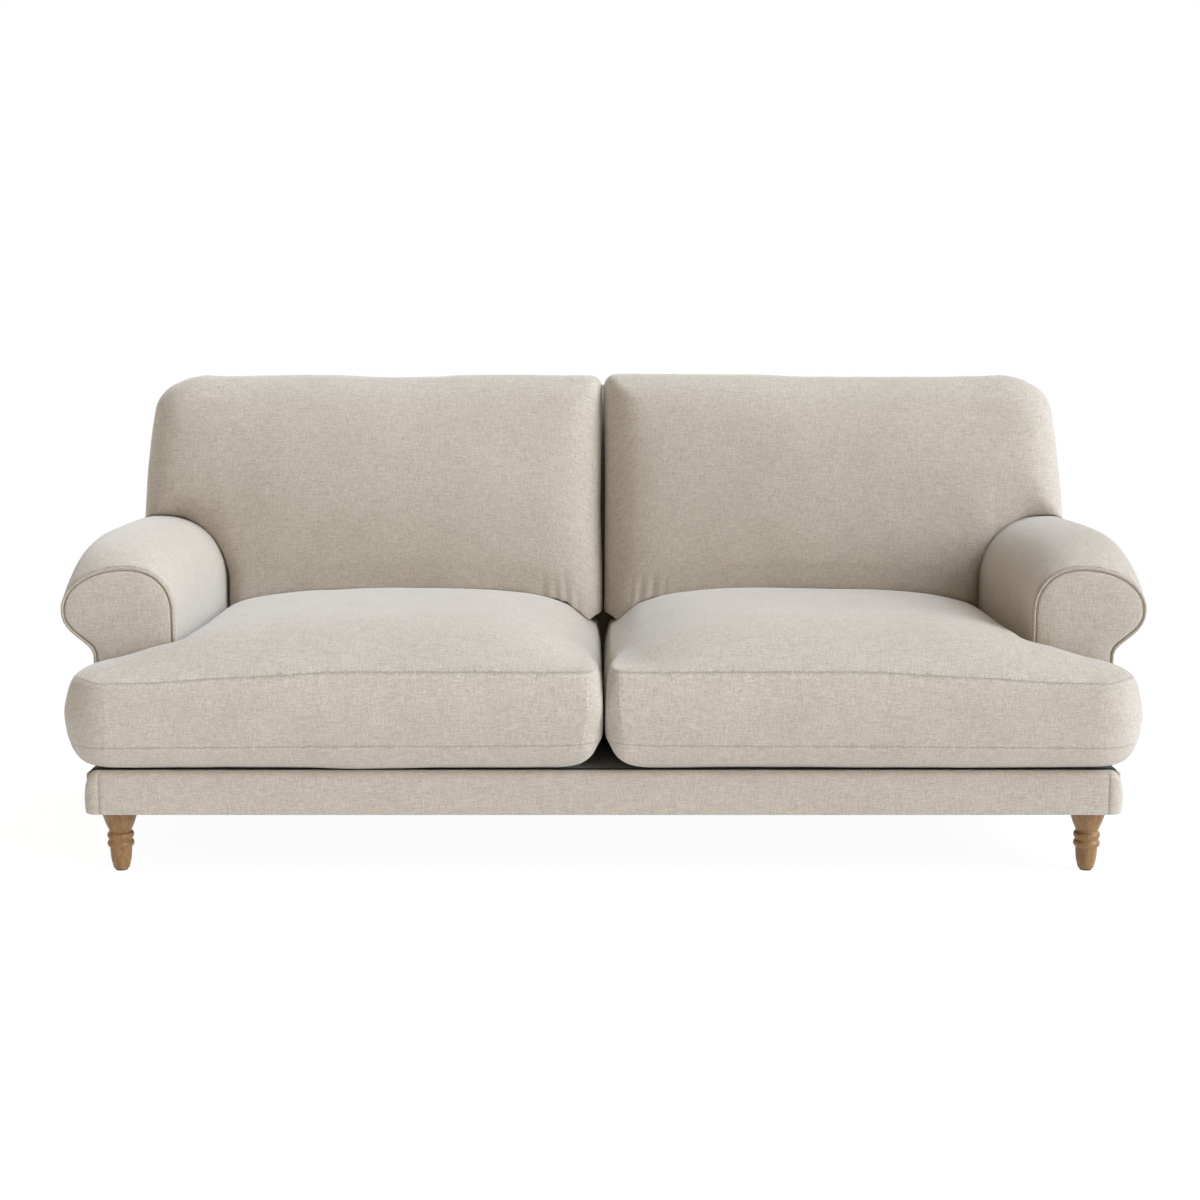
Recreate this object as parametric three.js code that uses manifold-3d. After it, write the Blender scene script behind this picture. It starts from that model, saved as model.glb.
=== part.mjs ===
// English roll arm sofa for two, in millimetres.
// It faces -Y and stands on Z = 0. The origin lies on the floor under the middle of its outer box.
// A beech frame carries webbing, a padded deck, two low rolled arms and a raked back.
// Two seat cushions, T-shaped as a pair, and two back cushions with wings lie loose on it.

import * as THREE from "three";
import { mergeVertices } from "three/addons/utils/BufferGeometryUtils.js";
import Module from "manifold-3d";

const wasm = await Module();
wasm.setup();

// Overall sizes
const OVERALL_WIDTH = 2150;
const OVERALL_DEPTH = 1010;
const BACK_LEAN = THREE.MathUtils.degToRad(10);

// Clearances, how far a cut runs past the piece it cuts, and how close shared points lie
const JOIN_GAP = 0.3;
const REST_GAP = 1;
const OVERRUN = 20;
const WELD_DISTANCE = 0.0001;

// Turned legs, each with a stud into the frame and a glide under the foot
const LEG_HEIGHT = 128;
const LEG_RADIUS = 35;
const GLIDE_THICKNESS = 3;
const GLIDE_RADIUS = 12;
const STUD_RADIUS = 4;
const STUD_LENGTH = 60;
const LEG_SIDE_INSET = 53;
const LEG_FRONT_INSET = 75;
const LEG_FROM_REAR_RAIL = 20;

// Base frame and its upholstered borders
const RAIL_HEIGHT = 77;
const RAIL_THICKNESS = 25;
const CENTRE_RAIL_THICKNESS = 30;
const BLOCK_SIZE = 110;
const BLOCK_HEIGHT = 40;
const FRONT_BORDER_HEIGHT = 86;
const FRONT_BORDER_THICKNESS = 30;
const BORDER_CORNER_RADIUS = 27;
const SIDE_BORDER_THICKNESS = 12;
const DUST_COVER_THICKNESS = 1.5;
const DUST_COVER_MARGIN = 2;

// Webbing and deck
const WEBBING_THICKNESS = 2;
const WEBBING_MARGIN = 10;
const STRAP_WIDTH = 60;
const SEAT_STRAP_COLUMNS = 6;
const SEAT_STRAP_ROWS = 5;
const BACK_STRAP_COLUMNS = 9;
const BACK_STRAP_ROWS = 4;
const DECK_THICKNESS = 8;

// Arms: the piped front panel is the smallest section, and the padded body swells behind it
const ARM_SETBACK = 140;
const ROLL_OVERHANG = 62;
const ARM_THICKNESS = 163;
const ARM_HEIGHT = 594;
const ARM_SWELL = 60;
const ARM_REAR_DROP = 20;
const SWELL_LENGTH = 80;
const CREST_INSET = 98;
const CREST_SHIFT = 62;
const SHOULDER_DROP = 95;
const WIDEST_DROP = 87;
const WIDEST_RISE = 32;
const NECK_DROP = 181;
const FACING_THICKNESS = 8;
const PIPING_RADIUS = 3;
const PIPING_GAP = 0.8;
const ARM_BOARD_THICKNESS = 18;
const ARM_BOARD_INSET = 20;
const ARM_RAIL_WIDTH = 60;
const ARM_RAIL_HEIGHT = 34;
const ARM_RAIL_DROP = 60;
const OUTSIDE_PANEL_THICKNESS = 10;
const BASE_SETBACK = 6;

// Back frame, measured up the slope from the seat deck
const BACK_HEIGHT = 725;
const BACK_PAD_THICKNESS = 15;
const BACK_TIMBER_THICKNESS = 32;
const BACK_SIDE_SETBACK = 13;
const BACK_SIDE_TAPER = 22;
const BACK_CORNER_RADIUS = 85;
const BACK_BORDER_THICKNESS = 9;
const BACK_POST_WIDTH = 50;
const BACK_WING_POST_WIDTH = 35;
const BACK_WING_POST_INSET = 12;
const BACK_TOP_RAIL_HEIGHT = 60;
const BACK_LOWER_RAIL_HEIGHT = 50;
const BACK_LOWER_RAIL_LEVEL = 100;
const BACK_PANEL_HEM = 78;
const BACK_POST_FOOT = 70;
const BACK_PAD_FOOT = 4;

// Seat cushions
const SEAT_FRONT_OVERHANG = 32;
const SEAT_SIDE_OVERHANG = 13;
const SEAT_FRONT_BULGE = 20;
const SEAT_SIDE_BULGE = 31;
const SEAT_INNER_BULGE = 14.5;
const SEAT_FRONT_UNDERCUT = 60;
const SEAT_SIDE_UNDERCUT = 50;
const SEAT_INNER_UNDERCUT = 120;
const SEAT_REAR_UNDERCUT = 28;
const CUSHION_HALF_GAP = 1.5;
const SEAT_SEAM_HEIGHT = 180;
const SEAT_CROWN = 98;
const SEAT_CORNER_RADIUS = 70;
const SEAT_INNER_RADIUS = 30;
const SEAT_FRONT_ROUND = 260;
const SEAT_INNER_ROUND = 560;
const SEAT_SIDE_ROUND = 700;
const SEAT_REAR_ROUND = 320;
const SEAT_ARM_ROUND = 150;
const SEAT_REAR_CLEARANCE = 4;

// Back cushions, measured up the slope from the seat deck
const CUSHION_THICKNESS = 165;
const CUSHION_CROWN = 40;
const CUSHION_FOOT = 165;
const CUSHION_TOP = 731;
const CUSHION_WING_DROP = 93;
const CUSHION_WING_OVERHANG = 36;
const CUSHION_SIDE_TAPER = 40;
const CUSHION_TOP_RADIUS = 118;
const CUSHION_INNER_RADIUS = 32;
const CUSHION_EDGE_ROUND = 80;

// Counts of steps round curves and across the formed cushions
const TURNED_SIDES = 16;
const ROUND_STEPS = 6;
const HOLE_STEPS = 8;
const PIPING_STEPS = 52;
const PIPING_SIDES = 4;
const STRAIGHT_STEPS = 4;
const ARM_SECTIONS = 8;
const CORNER_ROWS = 5;
const WING_ROWS = 2;
const BODY_ROWS = 6;
const SEAT_COLUMNS = 14;
const EDGE_STEPS = 5;
const MIDDLE_STEPS = 4;

// Shapes that no length sets: powers of the rounded curves and shares chosen by hand
// How steeply the seat cushion's crown rises from each of its edges
const FRONT_CROWN_POWER = 3.6;
const INNER_CROWN_POWER = 6.5;
const SIDE_CROWN_POWER = 3.7;
const REAR_CROWN_POWER = 3;
const ARM_CROWN_POWER = 2.2;
const ARM_POWER = 2.3;
const ROLL_POWER = 2.6;
const ARM_CROWN_SHARE = 0.16;
const UNDERSIDE_SHARES = [0.55, 0.35];
// The seat cushion's side from its bottom to its top seam: shares of the seam's height, of how far the
// side bulges outwards there, and of how far it is drawn in underneath
const SEAT_SIDE_SHARES = [
  [0, 0.75, 1], [0.067, 0.72, 0.4], [0.195, 0.75, 0.1], [0.283, 0.85, 0.015], [0.36, 0.93, 0],
  [0.5, 1, 0], [0.63, 1, 0], [0.79, 0.78, 0], [0.92, 0.37, 0], [1, 0, 0],
];
// Radius and height of the turned leg, as shares of LEG_RADIUS and of the wood's length, foot to top
const LEG_PROFILE_SHARES = [
  [0.42, 0], [0.44, 0.02], [0.56, 0.155], [0.6, 0.28], [0.62, 0.35], [0.7, 0.37], [0.737, 0.41],
  [0.7, 0.45], [0.655, 0.475], [0.7, 0.505], [0.737, 0.545], [0.7, 0.585], [0.626, 0.605],
  [0.7, 0.665], [0.82, 0.75], [0.963, 0.87], [1, 1],
];

// Places worked out from the sizes above
const BASE_FRONT = -OVERALL_DEPTH / 2 + SEAT_FRONT_OVERHANG;
const ARM_OUTER = OVERALL_WIDTH / 2 - ROLL_OVERHANG;
const ARM_INNER = ARM_OUTER - ARM_THICKNESS;
const BASE_SIDE = ARM_OUTER - BASE_SETBACK;
const RAIL_BOTTOM = LEG_HEIGHT + JOIN_GAP;
const RAIL_TOP = RAIL_BOTTOM + RAIL_HEIGHT;
const RAIL_OUTER = BASE_SIDE - SIDE_BORDER_THICKNESS - JOIN_GAP;
const RAIL_INNER = RAIL_OUTER - RAIL_THICKNESS;
const RAIL_FRONT = BASE_FRONT + FRONT_BORDER_THICKNESS + JOIN_GAP;
const WEBBING_BOTTOM = RAIL_TOP + JOIN_GAP;
const DECK_BOTTOM = WEBBING_BOTTOM + WEBBING_THICKNESS + JOIN_GAP;
const DECK_TOP = DECK_BOTTOM + DECK_THICKNESS;
const ARM_FRONT = BASE_FRONT + ARM_SETBACK;
const ARM_BODY_FRONT = ARM_FRONT + FACING_THICKNESS + JOIN_GAP;
const NECK_HEIGHT = ARM_HEIGHT - NECK_DROP;
const OUTSIDE_PANEL_INNER = ARM_OUTER - OUTSIDE_PANEL_THICKNESS;

// Layers of the back, counted backwards from the face the cushions lean on
const BACK_WEBBING_FACE = BACK_PAD_THICKNESS + JOIN_GAP;
const BACK_TIMBER_FACE = BACK_WEBBING_FACE + WEBBING_THICKNESS + JOIN_GAP;
const BACK_PANEL_FACE = BACK_TIMBER_FACE + BACK_TIMBER_THICKNESS + JOIN_GAP;
const BACK_REAR = BACK_PANEL_FACE + OUTSIDE_PANEL_THICKNESS;
const BACK_FLOOR = DECK_TOP + REST_GAP;
const BACK_FACE =
  OVERALL_DEPTH / 2 - BACK_REAR * Math.cos(BACK_LEAN) - BACK_HEIGHT * Math.sin(BACK_LEAN);
const BACK_SIDE = ARM_OUTER - BACK_SIDE_SETBACK;
const BACK_BORDER_INNER = BACK_BORDER_THICKNESS + JOIN_GAP;
const BACK_TIMBER = [BACK_TIMBER_FACE, BACK_TIMBER_FACE + BACK_TIMBER_THICKNESS];
const WING_POST_OUTER = BACK_SIDE - BACK_SIDE_TAPER - BACK_BORDER_INNER - BACK_WING_POST_INSET;
const WING_POST = [WING_POST_OUTER - BACK_WING_POST_WIDTH, WING_POST_OUTER];
const TOP_RAIL_BOTTOM = BACK_HEIGHT - BACK_BORDER_INNER - BACK_TOP_RAIL_HEIGHT;
const REAR_RAIL_BACK = leanY(RAIL_BOTTOM, BACK_TIMBER_FACE) - JOIN_GAP;
const REAR_RAIL_FRONT = REAR_RAIL_BACK - RAIL_THICKNESS;

const FINISHES = {
  linen: { color: 0xc2b8a8, roughness: 0.95, metalness: 0 },
  piping: { color: 0xb8ad9c, roughness: 0.95, metalness: 0 },
  beech: { color: 0xd6b78c, roughness: 0.7, metalness: 0 },
  oak: { color: 0x99774f, roughness: 0.55, metalness: 0 },
  steel: { color: 0x9aa0a6, roughness: 0.35, metalness: 1 },
  webbing: { color: 0x5a4a3c, roughness: 0.9, metalness: 0 },
  dust_cloth: { color: 0x24221f, roughness: 1, metalness: 0 },
  nylon: { color: 0x4a3b2e, roughness: 0.6, metalness: 0 },
};

// Y of a plane of the raked back at height z, offset backwards through its layers
function leanY(z, offset) {
  return BACK_FACE + (z - BACK_FLOOR) * Math.tan(BACK_LEAN) + offset / Math.cos(BACK_LEAN);
}

// Distance up the slope of the raked back, on its front face, to height z
function upSlope(z) {
  return (z - BACK_FLOOR) / Math.cos(BACK_LEAN);
}

function lerp(a, b, share) {
  return a + (b - a) * share;
}

// Step k of n along a quarter turn, in radians
function quarter(k, n) {
  return ((k / n) * Math.PI) / 2;
}

function add(parent, name, geometry, finish) {
  const mesh = new THREE.Mesh(geometry, new THREE.MeshStandardMaterial(FINISHES[finish]));
  mesh.name = name;
  parent.add(mesh);
  return mesh;
}

// A plain bar or board between low and high on each axis
function addBar(parent, name, finish, x, y, z) {
  const geometry = new THREE.BoxGeometry(x[1] - x[0], y[1] - y[0], z[1] - z[0]);
  const mesh = add(parent, name, geometry, finish);
  mesh.position.set((x[0] + x[1]) / 2, (y[0] + y[1]) / 2, (z[0] + z[1]) / 2);
  return mesh;
}

// A closed outline through corners [x, y, radius], each rounded as far as its sides allow
function roundedShape(corners) {
  const shape = new THREE.Shape();
  corners.forEach(([x, y, radius], i) => {
    const here = new THREE.Vector2(x, y);
    const last = new THREE.Vector2(...corners.at(i - 1));
    const next = new THREE.Vector2(...corners[(i + 1) % corners.length]);
    const limit = Math.min(here.distanceTo(last), here.distanceTo(next)) / 2;
    const reach = Math.min(radius, limit);
    const before = here.clone().add(last.sub(here).setLength(reach));
    const after = here.clone().add(next.sub(here).setLength(reach));
    if (i === 0) shape.moveTo(before.x, before.y);
    else shape.lineTo(before.x, before.y);
    if (reach > 0) shape.quadraticCurveTo(x, y, after.x, after.y);
  });
  return shape;
}

// A flat panel of an outline in X and Y, thickness upwards
function flatPanel(shape, thickness, steps = ROUND_STEPS) {
  return new THREE.ExtrudeGeometry(shape, {
    depth: thickness,
    bevelEnabled: false,
    curveSegments: steps,
  });
}

// An upright panel of an outline in X and Z, thickness backwards
function uprightPanel(shape, thickness, steps = ROUND_STEPS) {
  return flatPanel(shape, thickness, steps).rotateX(Math.PI / 2).translate(0, thickness, 0);
}

// A board of an outline in Y and Z, thickness along +X
function sidePanel(points, thickness) {
  const turn = new THREE.Matrix4().makeBasis(
    new THREE.Vector3(0, 1, 0),
    new THREE.Vector3(0, 0, 1),
    new THREE.Vector3(1, 0, 0),
  );
  const shape = new THREE.Shape(points.map(([y, z]) => new THREE.Vector2(y, z)));
  return flatPanel(shape, thickness).applyMatrix4(turn);
}

// A board that runs backwards from y to the raked back, its rear end cut to the rake
function rakedBoard(y, z, offset, thickness) {
  const rear = (height) => leanY(height, offset) - JOIN_GAP;
  return sidePanel([[y, z[0]], [rear(z[0]), z[0]], [rear(z[1]), z[1]], [y, z[1]]], thickness);
}

function solidOf(geometry) {
  const bare = geometry.clone().deleteAttribute("normal").deleteAttribute("uv");
  const merged = mergeVertices(bare, WELD_DISTANCE);
  const vertProperties = new Float32Array(merged.attributes.position.array);
  const triVerts = new Uint32Array(merged.index.array);
  return new wasm.Manifold(new wasm.Mesh({ numProp: 3, vertProperties, triVerts }));
}

function geometryOf(solid) {
  const made = solid.getMesh();
  return new THREE.BufferGeometry()
    .setAttribute("position", new THREE.BufferAttribute(made.vertProperties, 3))
    .setIndex(new THREE.BufferAttribute(made.triVerts, 1));
}

function cut(geometry, ...tools) {
  return geometryOf(tools.reduce((solid, tool) => solid.subtract(solidOf(tool)), solidOf(geometry)));
}

// The same body on the other side of the sofa, with its faces turned back to look outwards
function mirrored(geometry) {
  const other = geometry.clone().scale(-1, 1, 1);
  const index = other.index.array;
  for (let i = 0; i < index.length; i += 3) {
    [index[i], index[i + 1]] = [index[i + 1], index[i]];
  }
  return other;
}

// A body built in the sofa's frame, seen from the raked back's own frame
function inBackFrame(geometry) {
  return geometry.clone().translate(0, -BACK_FACE, -BACK_FLOOR).rotateX(BACK_LEAN);
}

// The four leg places: right side only, as the left side mirrors it
const LEG_PLACES = [
  ["front", BASE_SIDE - LEG_SIDE_INSET, BASE_FRONT + LEG_FRONT_INSET],
  ["rear", BASE_SIDE - LEG_SIDE_INSET, REAR_RAIL_FRONT - LEG_FROM_REAR_RAIL],
];

function legGeometry() {
  const length = LEG_HEIGHT - GLIDE_THICKNESS - JOIN_GAP;
  const foot = GLIDE_THICKNESS + JOIN_GAP;
  const bore = STUD_RADIUS + JOIN_GAP;
  const boreEnd = LEG_HEIGHT - STUD_LENGTH / 2 - JOIN_GAP;
  const outside = LEG_PROFILE_SHARES.map(
    ([radius, height]) => new THREE.Vector2(radius * LEG_RADIUS, foot + height * length),
  );
  const profile = [
    new THREE.Vector2(0, foot),
    ...outside,
    new THREE.Vector2(bore, LEG_HEIGHT),
    new THREE.Vector2(bore, boreEnd),
    new THREE.Vector2(0, boreEnd),
  ];
  return new THREE.LatheGeometry(profile, TURNED_SIDES).rotateX(Math.PI / 2);
}

function discGeometry(radius, length) {
  return new THREE.CylinderGeometry(radius, radius, length, TURNED_SIDES).rotateX(Math.PI / 2);
}

function circleHole(x, y, radius) {
  return new THREE.Path().absarc(x, y, radius, 0, 2 * Math.PI, true);
}

function addLegs(parent, side) {
  for (const [end, x, y] of LEG_PLACES) {
    const leg = add(parent, `leg_${end}_${side}`, legGeometry(), "oak");
    leg.position.set(x, y, 0);
    const stud = add(parent, `leg_stud_${end}_${side}`, discGeometry(STUD_RADIUS, STUD_LENGTH), "steel");
    stud.position.set(x, y, LEG_HEIGHT);
    const glide = discGeometry(GLIDE_RADIUS, GLIDE_THICKNESS);
    add(parent, `leg_glide_${end}_${side}`, glide, "nylon").position.set(x, y, GLIDE_THICKNESS / 2);
    addCornerBlock(parent, `corner_block_${end}_${side}`, x, y, end === "front");
  }
}

// The block that a leg's stud screws into, in the corner between two rails
function addCornerBlock(parent, name, x, y, atFront) {
  const outer = RAIL_INNER - JOIN_GAP;
  const front = RAIL_FRONT + RAIL_THICKNESS + JOIN_GAP;
  const rear = REAR_RAIL_FRONT - JOIN_GAP;
  const [low, high] = atFront ? [front, front + BLOCK_SIZE] : [rear - BLOCK_SIZE, rear];
  const inner = outer - BLOCK_SIZE;
  const shape = roundedShape([[inner, low, 0], [outer, low, 0], [outer, high, 0], [inner, high, 0]]);
  shape.holes.push(circleHole(x, y, STUD_RADIUS + JOIN_GAP));
  add(parent, name, flatPanel(shape, BLOCK_HEIGHT, HOLE_STEPS), "beech").position.z = RAIL_BOTTOM;
}

function addBaseFrame(sofa) {
  const z = [RAIL_BOTTOM, RAIL_TOP];
  const railBack = RAIL_FRONT + RAIL_THICKNESS;
  addBar(sofa, "front_rail", "beech", [-RAIL_OUTER, RAIL_OUTER], [RAIL_FRONT, railBack], z);
  const rearHalf = RAIL_INNER - JOIN_GAP;
  const rearRail = rakedBoard(REAR_RAIL_FRONT, z, BACK_TIMBER_FACE, 2 * rearHalf);
  add(sofa, "rear_rail", rearRail, "beech").position.x = -rearHalf;
  const centre = [-CENTRE_RAIL_THICKNESS / 2, CENTRE_RAIL_THICKNESS / 2];
  addBar(sofa, "centre_rail", "beech", centre, [railBack + JOIN_GAP, REAR_RAIL_FRONT - JOIN_GAP], z);
  addFrontBorder(sofa);
  addDustCover(sofa);
  addDeck(sofa);
}

// The padded front border: its corners are round in plan and along the top
function addFrontBorder(sofa) {
  const back = BASE_FRONT + FRONT_BORDER_THICKNESS;
  const round = BORDER_CORNER_RADIUS;
  const plan = roundedShape([
    [-BASE_SIDE, BASE_FRONT, round],
    [BASE_SIDE, BASE_FRONT, round],
    [BASE_SIDE, back, 0],
    [-BASE_SIDE, back, 0],
  ]);
  const face = roundedShape([
    [-BASE_SIDE, 0, 0],
    [BASE_SIDE, 0, 0],
    [BASE_SIDE, FRONT_BORDER_HEIGHT, round],
    [-BASE_SIDE, FRONT_BORDER_HEIGHT, round],
  ]);
  const fromAbove = solidOf(flatPanel(plan, FRONT_BORDER_HEIGHT));
  const fromFront = solidOf(uprightPanel(face, FRONT_BORDER_THICKNESS).translate(0, BASE_FRONT, 0));
  const border = geometryOf(fromAbove.intersect(fromFront));
  add(sofa, "front_border", border, "linen").position.z = LEG_HEIGHT;
}

// The black cloth under the frame, with a hole round each leg's top
function addDustCover(sofa) {
  const side = RAIL_OUTER - DUST_COVER_MARGIN;
  const front = RAIL_FRONT + DUST_COVER_MARGIN;
  const rear = REAR_RAIL_BACK - DUST_COVER_MARGIN;
  const shape = roundedShape([[-side, front, 0], [side, front, 0], [side, rear, 0], [-side, rear, 0]]);
  for (const [, x, y] of LEG_PLACES) {
    shape.holes.push(circleHole(x, y, LEG_RADIUS + REST_GAP));
    shape.holes.push(circleHole(-x, y, LEG_RADIUS + REST_GAP));
  }
  const cloth = flatPanel(shape, DUST_COVER_THICKNESS, HOLE_STEPS);
  add(sofa, "dust_cover", cloth, "dust_cloth").position.z = LEG_HEIGHT - DUST_COVER_THICKNESS;
}

// The padded deck: a T in plan that fits between the arms and runs out in front of them
function addDeck(sofa) {
  const wide = RAIL_OUTER;
  const narrow = ARM_INNER - REST_GAP;
  const front = RAIL_FRONT;
  const step = ARM_FRONT - REST_GAP;
  const rear = leanY(DECK_BOTTOM, 0) - JOIN_GAP;
  const shape = roundedShape([
    [-wide, front, 0],
    [wide, front, 0],
    [wide, step, 0],
    [narrow, step, 0],
    [narrow, rear, 0],
    [-narrow, rear, 0],
    [-narrow, step, 0],
    [-wide, step, 0],
  ]);
  add(sofa, "seat_deck", flatPanel(shape, DECK_THICKNESS), "linen").position.z = DECK_BOTTOM;
}

// Flat straps woven both ways over a rectangle from low to high on each axis, joined as one
function webbing(x, y, columns, rows) {
  const strap = (low, high) => {
    const size = [high[0] - low[0], high[1] - low[1]];
    const geometry = new THREE.BoxGeometry(...size, WEBBING_THICKNESS);
    return solidOf(geometry.translate(low[0] + size[0] / 2, low[1] + size[1] / 2, 0));
  };
  const straps = [];
  for (let i = 0; i < columns; i++) {
    const left = lerp(x[0], x[1] - STRAP_WIDTH, i / (columns - 1));
    straps.push(strap([left, y[0]], [left + STRAP_WIDTH, y[1]]));
  }
  for (let j = 0; j < rows; j++) {
    const low = lerp(y[0], y[1] - STRAP_WIDTH, j / (rows - 1));
    straps.push(strap([x[0], low], [x[1], low + STRAP_WIDTH]));
  }
  return geometryOf(straps.reduce((joined, one) => joined.add(one)));
}

function addSeatWebbing(parent, side) {
  const x = [JOIN_GAP, RAIL_OUTER - WEBBING_MARGIN];
  const y = [RAIL_FRONT + WEBBING_MARGIN, REAR_RAIL_BACK];
  const straps = webbing(x, y, SEAT_STRAP_COLUMNS, SEAT_STRAP_ROWS);
  const middle = WEBBING_BOTTOM + WEBBING_THICKNESS / 2;
  add(parent, `seat_webbing_${side}`, straps, "webbing").position.z = middle;
}

function addBaseSide(parent, side) {
  const z = [RAIL_BOTTOM, RAIL_TOP];
  const front = RAIL_FRONT + RAIL_THICKNESS + JOIN_GAP;
  const rail = rakedBoard(front, z, BACK_PANEL_FACE, RAIL_THICKNESS);
  add(parent, `side_rail_${side}`, rail, "beech").position.x = RAIL_INNER;
  const borderFront = BASE_FRONT + FRONT_BORDER_THICKNESS + JOIN_GAP;
  const borderZ = [LEG_HEIGHT, RAIL_TOP];
  const border = rakedBoard(borderFront, borderZ, BACK_PANEL_FACE, SIDE_BORDER_THICKNESS);
  add(parent, `side_border_${side}`, border, "linen").position.x = BASE_SIDE - SIDE_BORDER_THICKNESS;
}

// The arm's outline in X and Z from its inner foot round the roll to its outer foot.
// swell runs from 0 at the piped panel to 1 in the full body, fall from 0 at the front to 1 at the
// rear, and inset draws the whole outline in.
function armOutline(swell, fall, inset, foot = DECK_BOTTOM) {
  const inner = ARM_INNER + inset;
  const outer = OVERALL_WIDTH / 2 - inset;
  const crest = ARM_INNER + CREST_INSET + CREST_SHIFT * swell;
  const top = ARM_HEIGHT + ARM_SWELL * swell - ARM_REAR_DROP * fall - inset;
  const shoulder = ARM_HEIGHT - SHOULDER_DROP;
  const widest = ARM_HEIGHT - WIDEST_DROP + WIDEST_RISE * swell;
  const neck = new THREE.Vector2(ARM_OUTER - inset, NECK_HEIGHT + inset);
  const outerPower = lerp(2, ROLL_POWER, swell);
  const points = [new THREE.Vector2(inner, foot)];
  for (let k = 0; k <= ROUND_STEPS; k++) {
    const turn = quarter(k, ROUND_STEPS);
    const x = crest - (crest - inner) * Math.max(Math.cos(turn), 0) ** (2 / ARM_POWER);
    points.push(new THREE.Vector2(x, lerp(shoulder, top, Math.sin(turn) ** (2 / ARM_POWER))));
  }
  for (let k = 1; k <= ROUND_STEPS; k++) {
    const turn = quarter(k, ROUND_STEPS);
    const x = lerp(crest, outer, Math.sin(turn) ** (2 / outerPower));
    const rounded = Math.max(Math.cos(turn), 0) ** (2 / outerPower);
    points.push(new THREE.Vector2(x, lerp(widest, top, rounded)));
  }
  const drop = widest - neck.y;
  const underside = new THREE.CubicBezierCurve(
    new THREE.Vector2(outer, widest),
    new THREE.Vector2(outer, widest - drop * UNDERSIDE_SHARES[0]),
    new THREE.Vector2(neck.x, neck.y + drop * UNDERSIDE_SHARES[1]),
    neck,
  );
  points.push(...underside.getPoints(ROUND_STEPS).slice(1));
  points.push(new THREE.Vector2(neck.x, foot));
  return points;
}

// A closed body through rings of points, front ring first, each clockwise as seen from the front
function loft(rings) {
  const count = rings[0].length;
  const positions = rings.flat().flatMap((p) => [p.x, p.y, p.z]);
  const index = [];
  for (let r = 0; r + 1 < rings.length; r++) {
    for (let i = 0; i < count; i++) {
      const a = r * count + i;
      const b = r * count + ((i + 1) % count);
      index.push(a, b, b + count, a, b + count, a + count);
    }
  }
  const face = (ring) => ring.map((p) => new THREE.Vector2(p.x, p.z));
  const last = (rings.length - 1) * count;
  for (const [a, b, c] of THREE.ShapeUtils.triangulateShape(face(rings[0]), [])) index.push(a, b, c);
  for (const [a, b, c] of THREE.ShapeUtils.triangulateShape(face(rings.at(-1)), [])) {
    index.push(last + a, last + c, last + b);
  }
  const geometry = new THREE.BufferGeometry().setIndex(index);
  geometry.setAttribute("position", new THREE.Float32BufferAttribute(positions, 3));
  return geometry;
}

// The arm's padded body. grow swells it evenly, for cutting what lies against it.
function armBody(grow) {
  const rings = [];
  for (let s = 0; s <= ARM_SECTIONS; s++) {
    const share = (s / ARM_SECTIONS) ** 2;
    const run = leanY(DECK_TOP, BACK_PANEL_FACE) - ARM_BODY_FRONT;
    const swell = 1 - Math.exp((-share * run) / SWELL_LENGTH);
    const outline = armOutline(swell, share, -grow);
    const ring = outline.map(({ x, y: z }) => {
      const rear = leanY(z, BACK_PANEL_FACE) - JOIN_GAP + grow;
      return new THREE.Vector3(x, lerp(ARM_BODY_FRONT - grow, rear, share), z);
    });
    rings.push(ring);
  }
  return loft(rings);
}

function outlineShape(points) {
  return new THREE.Shape(points);
}

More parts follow.
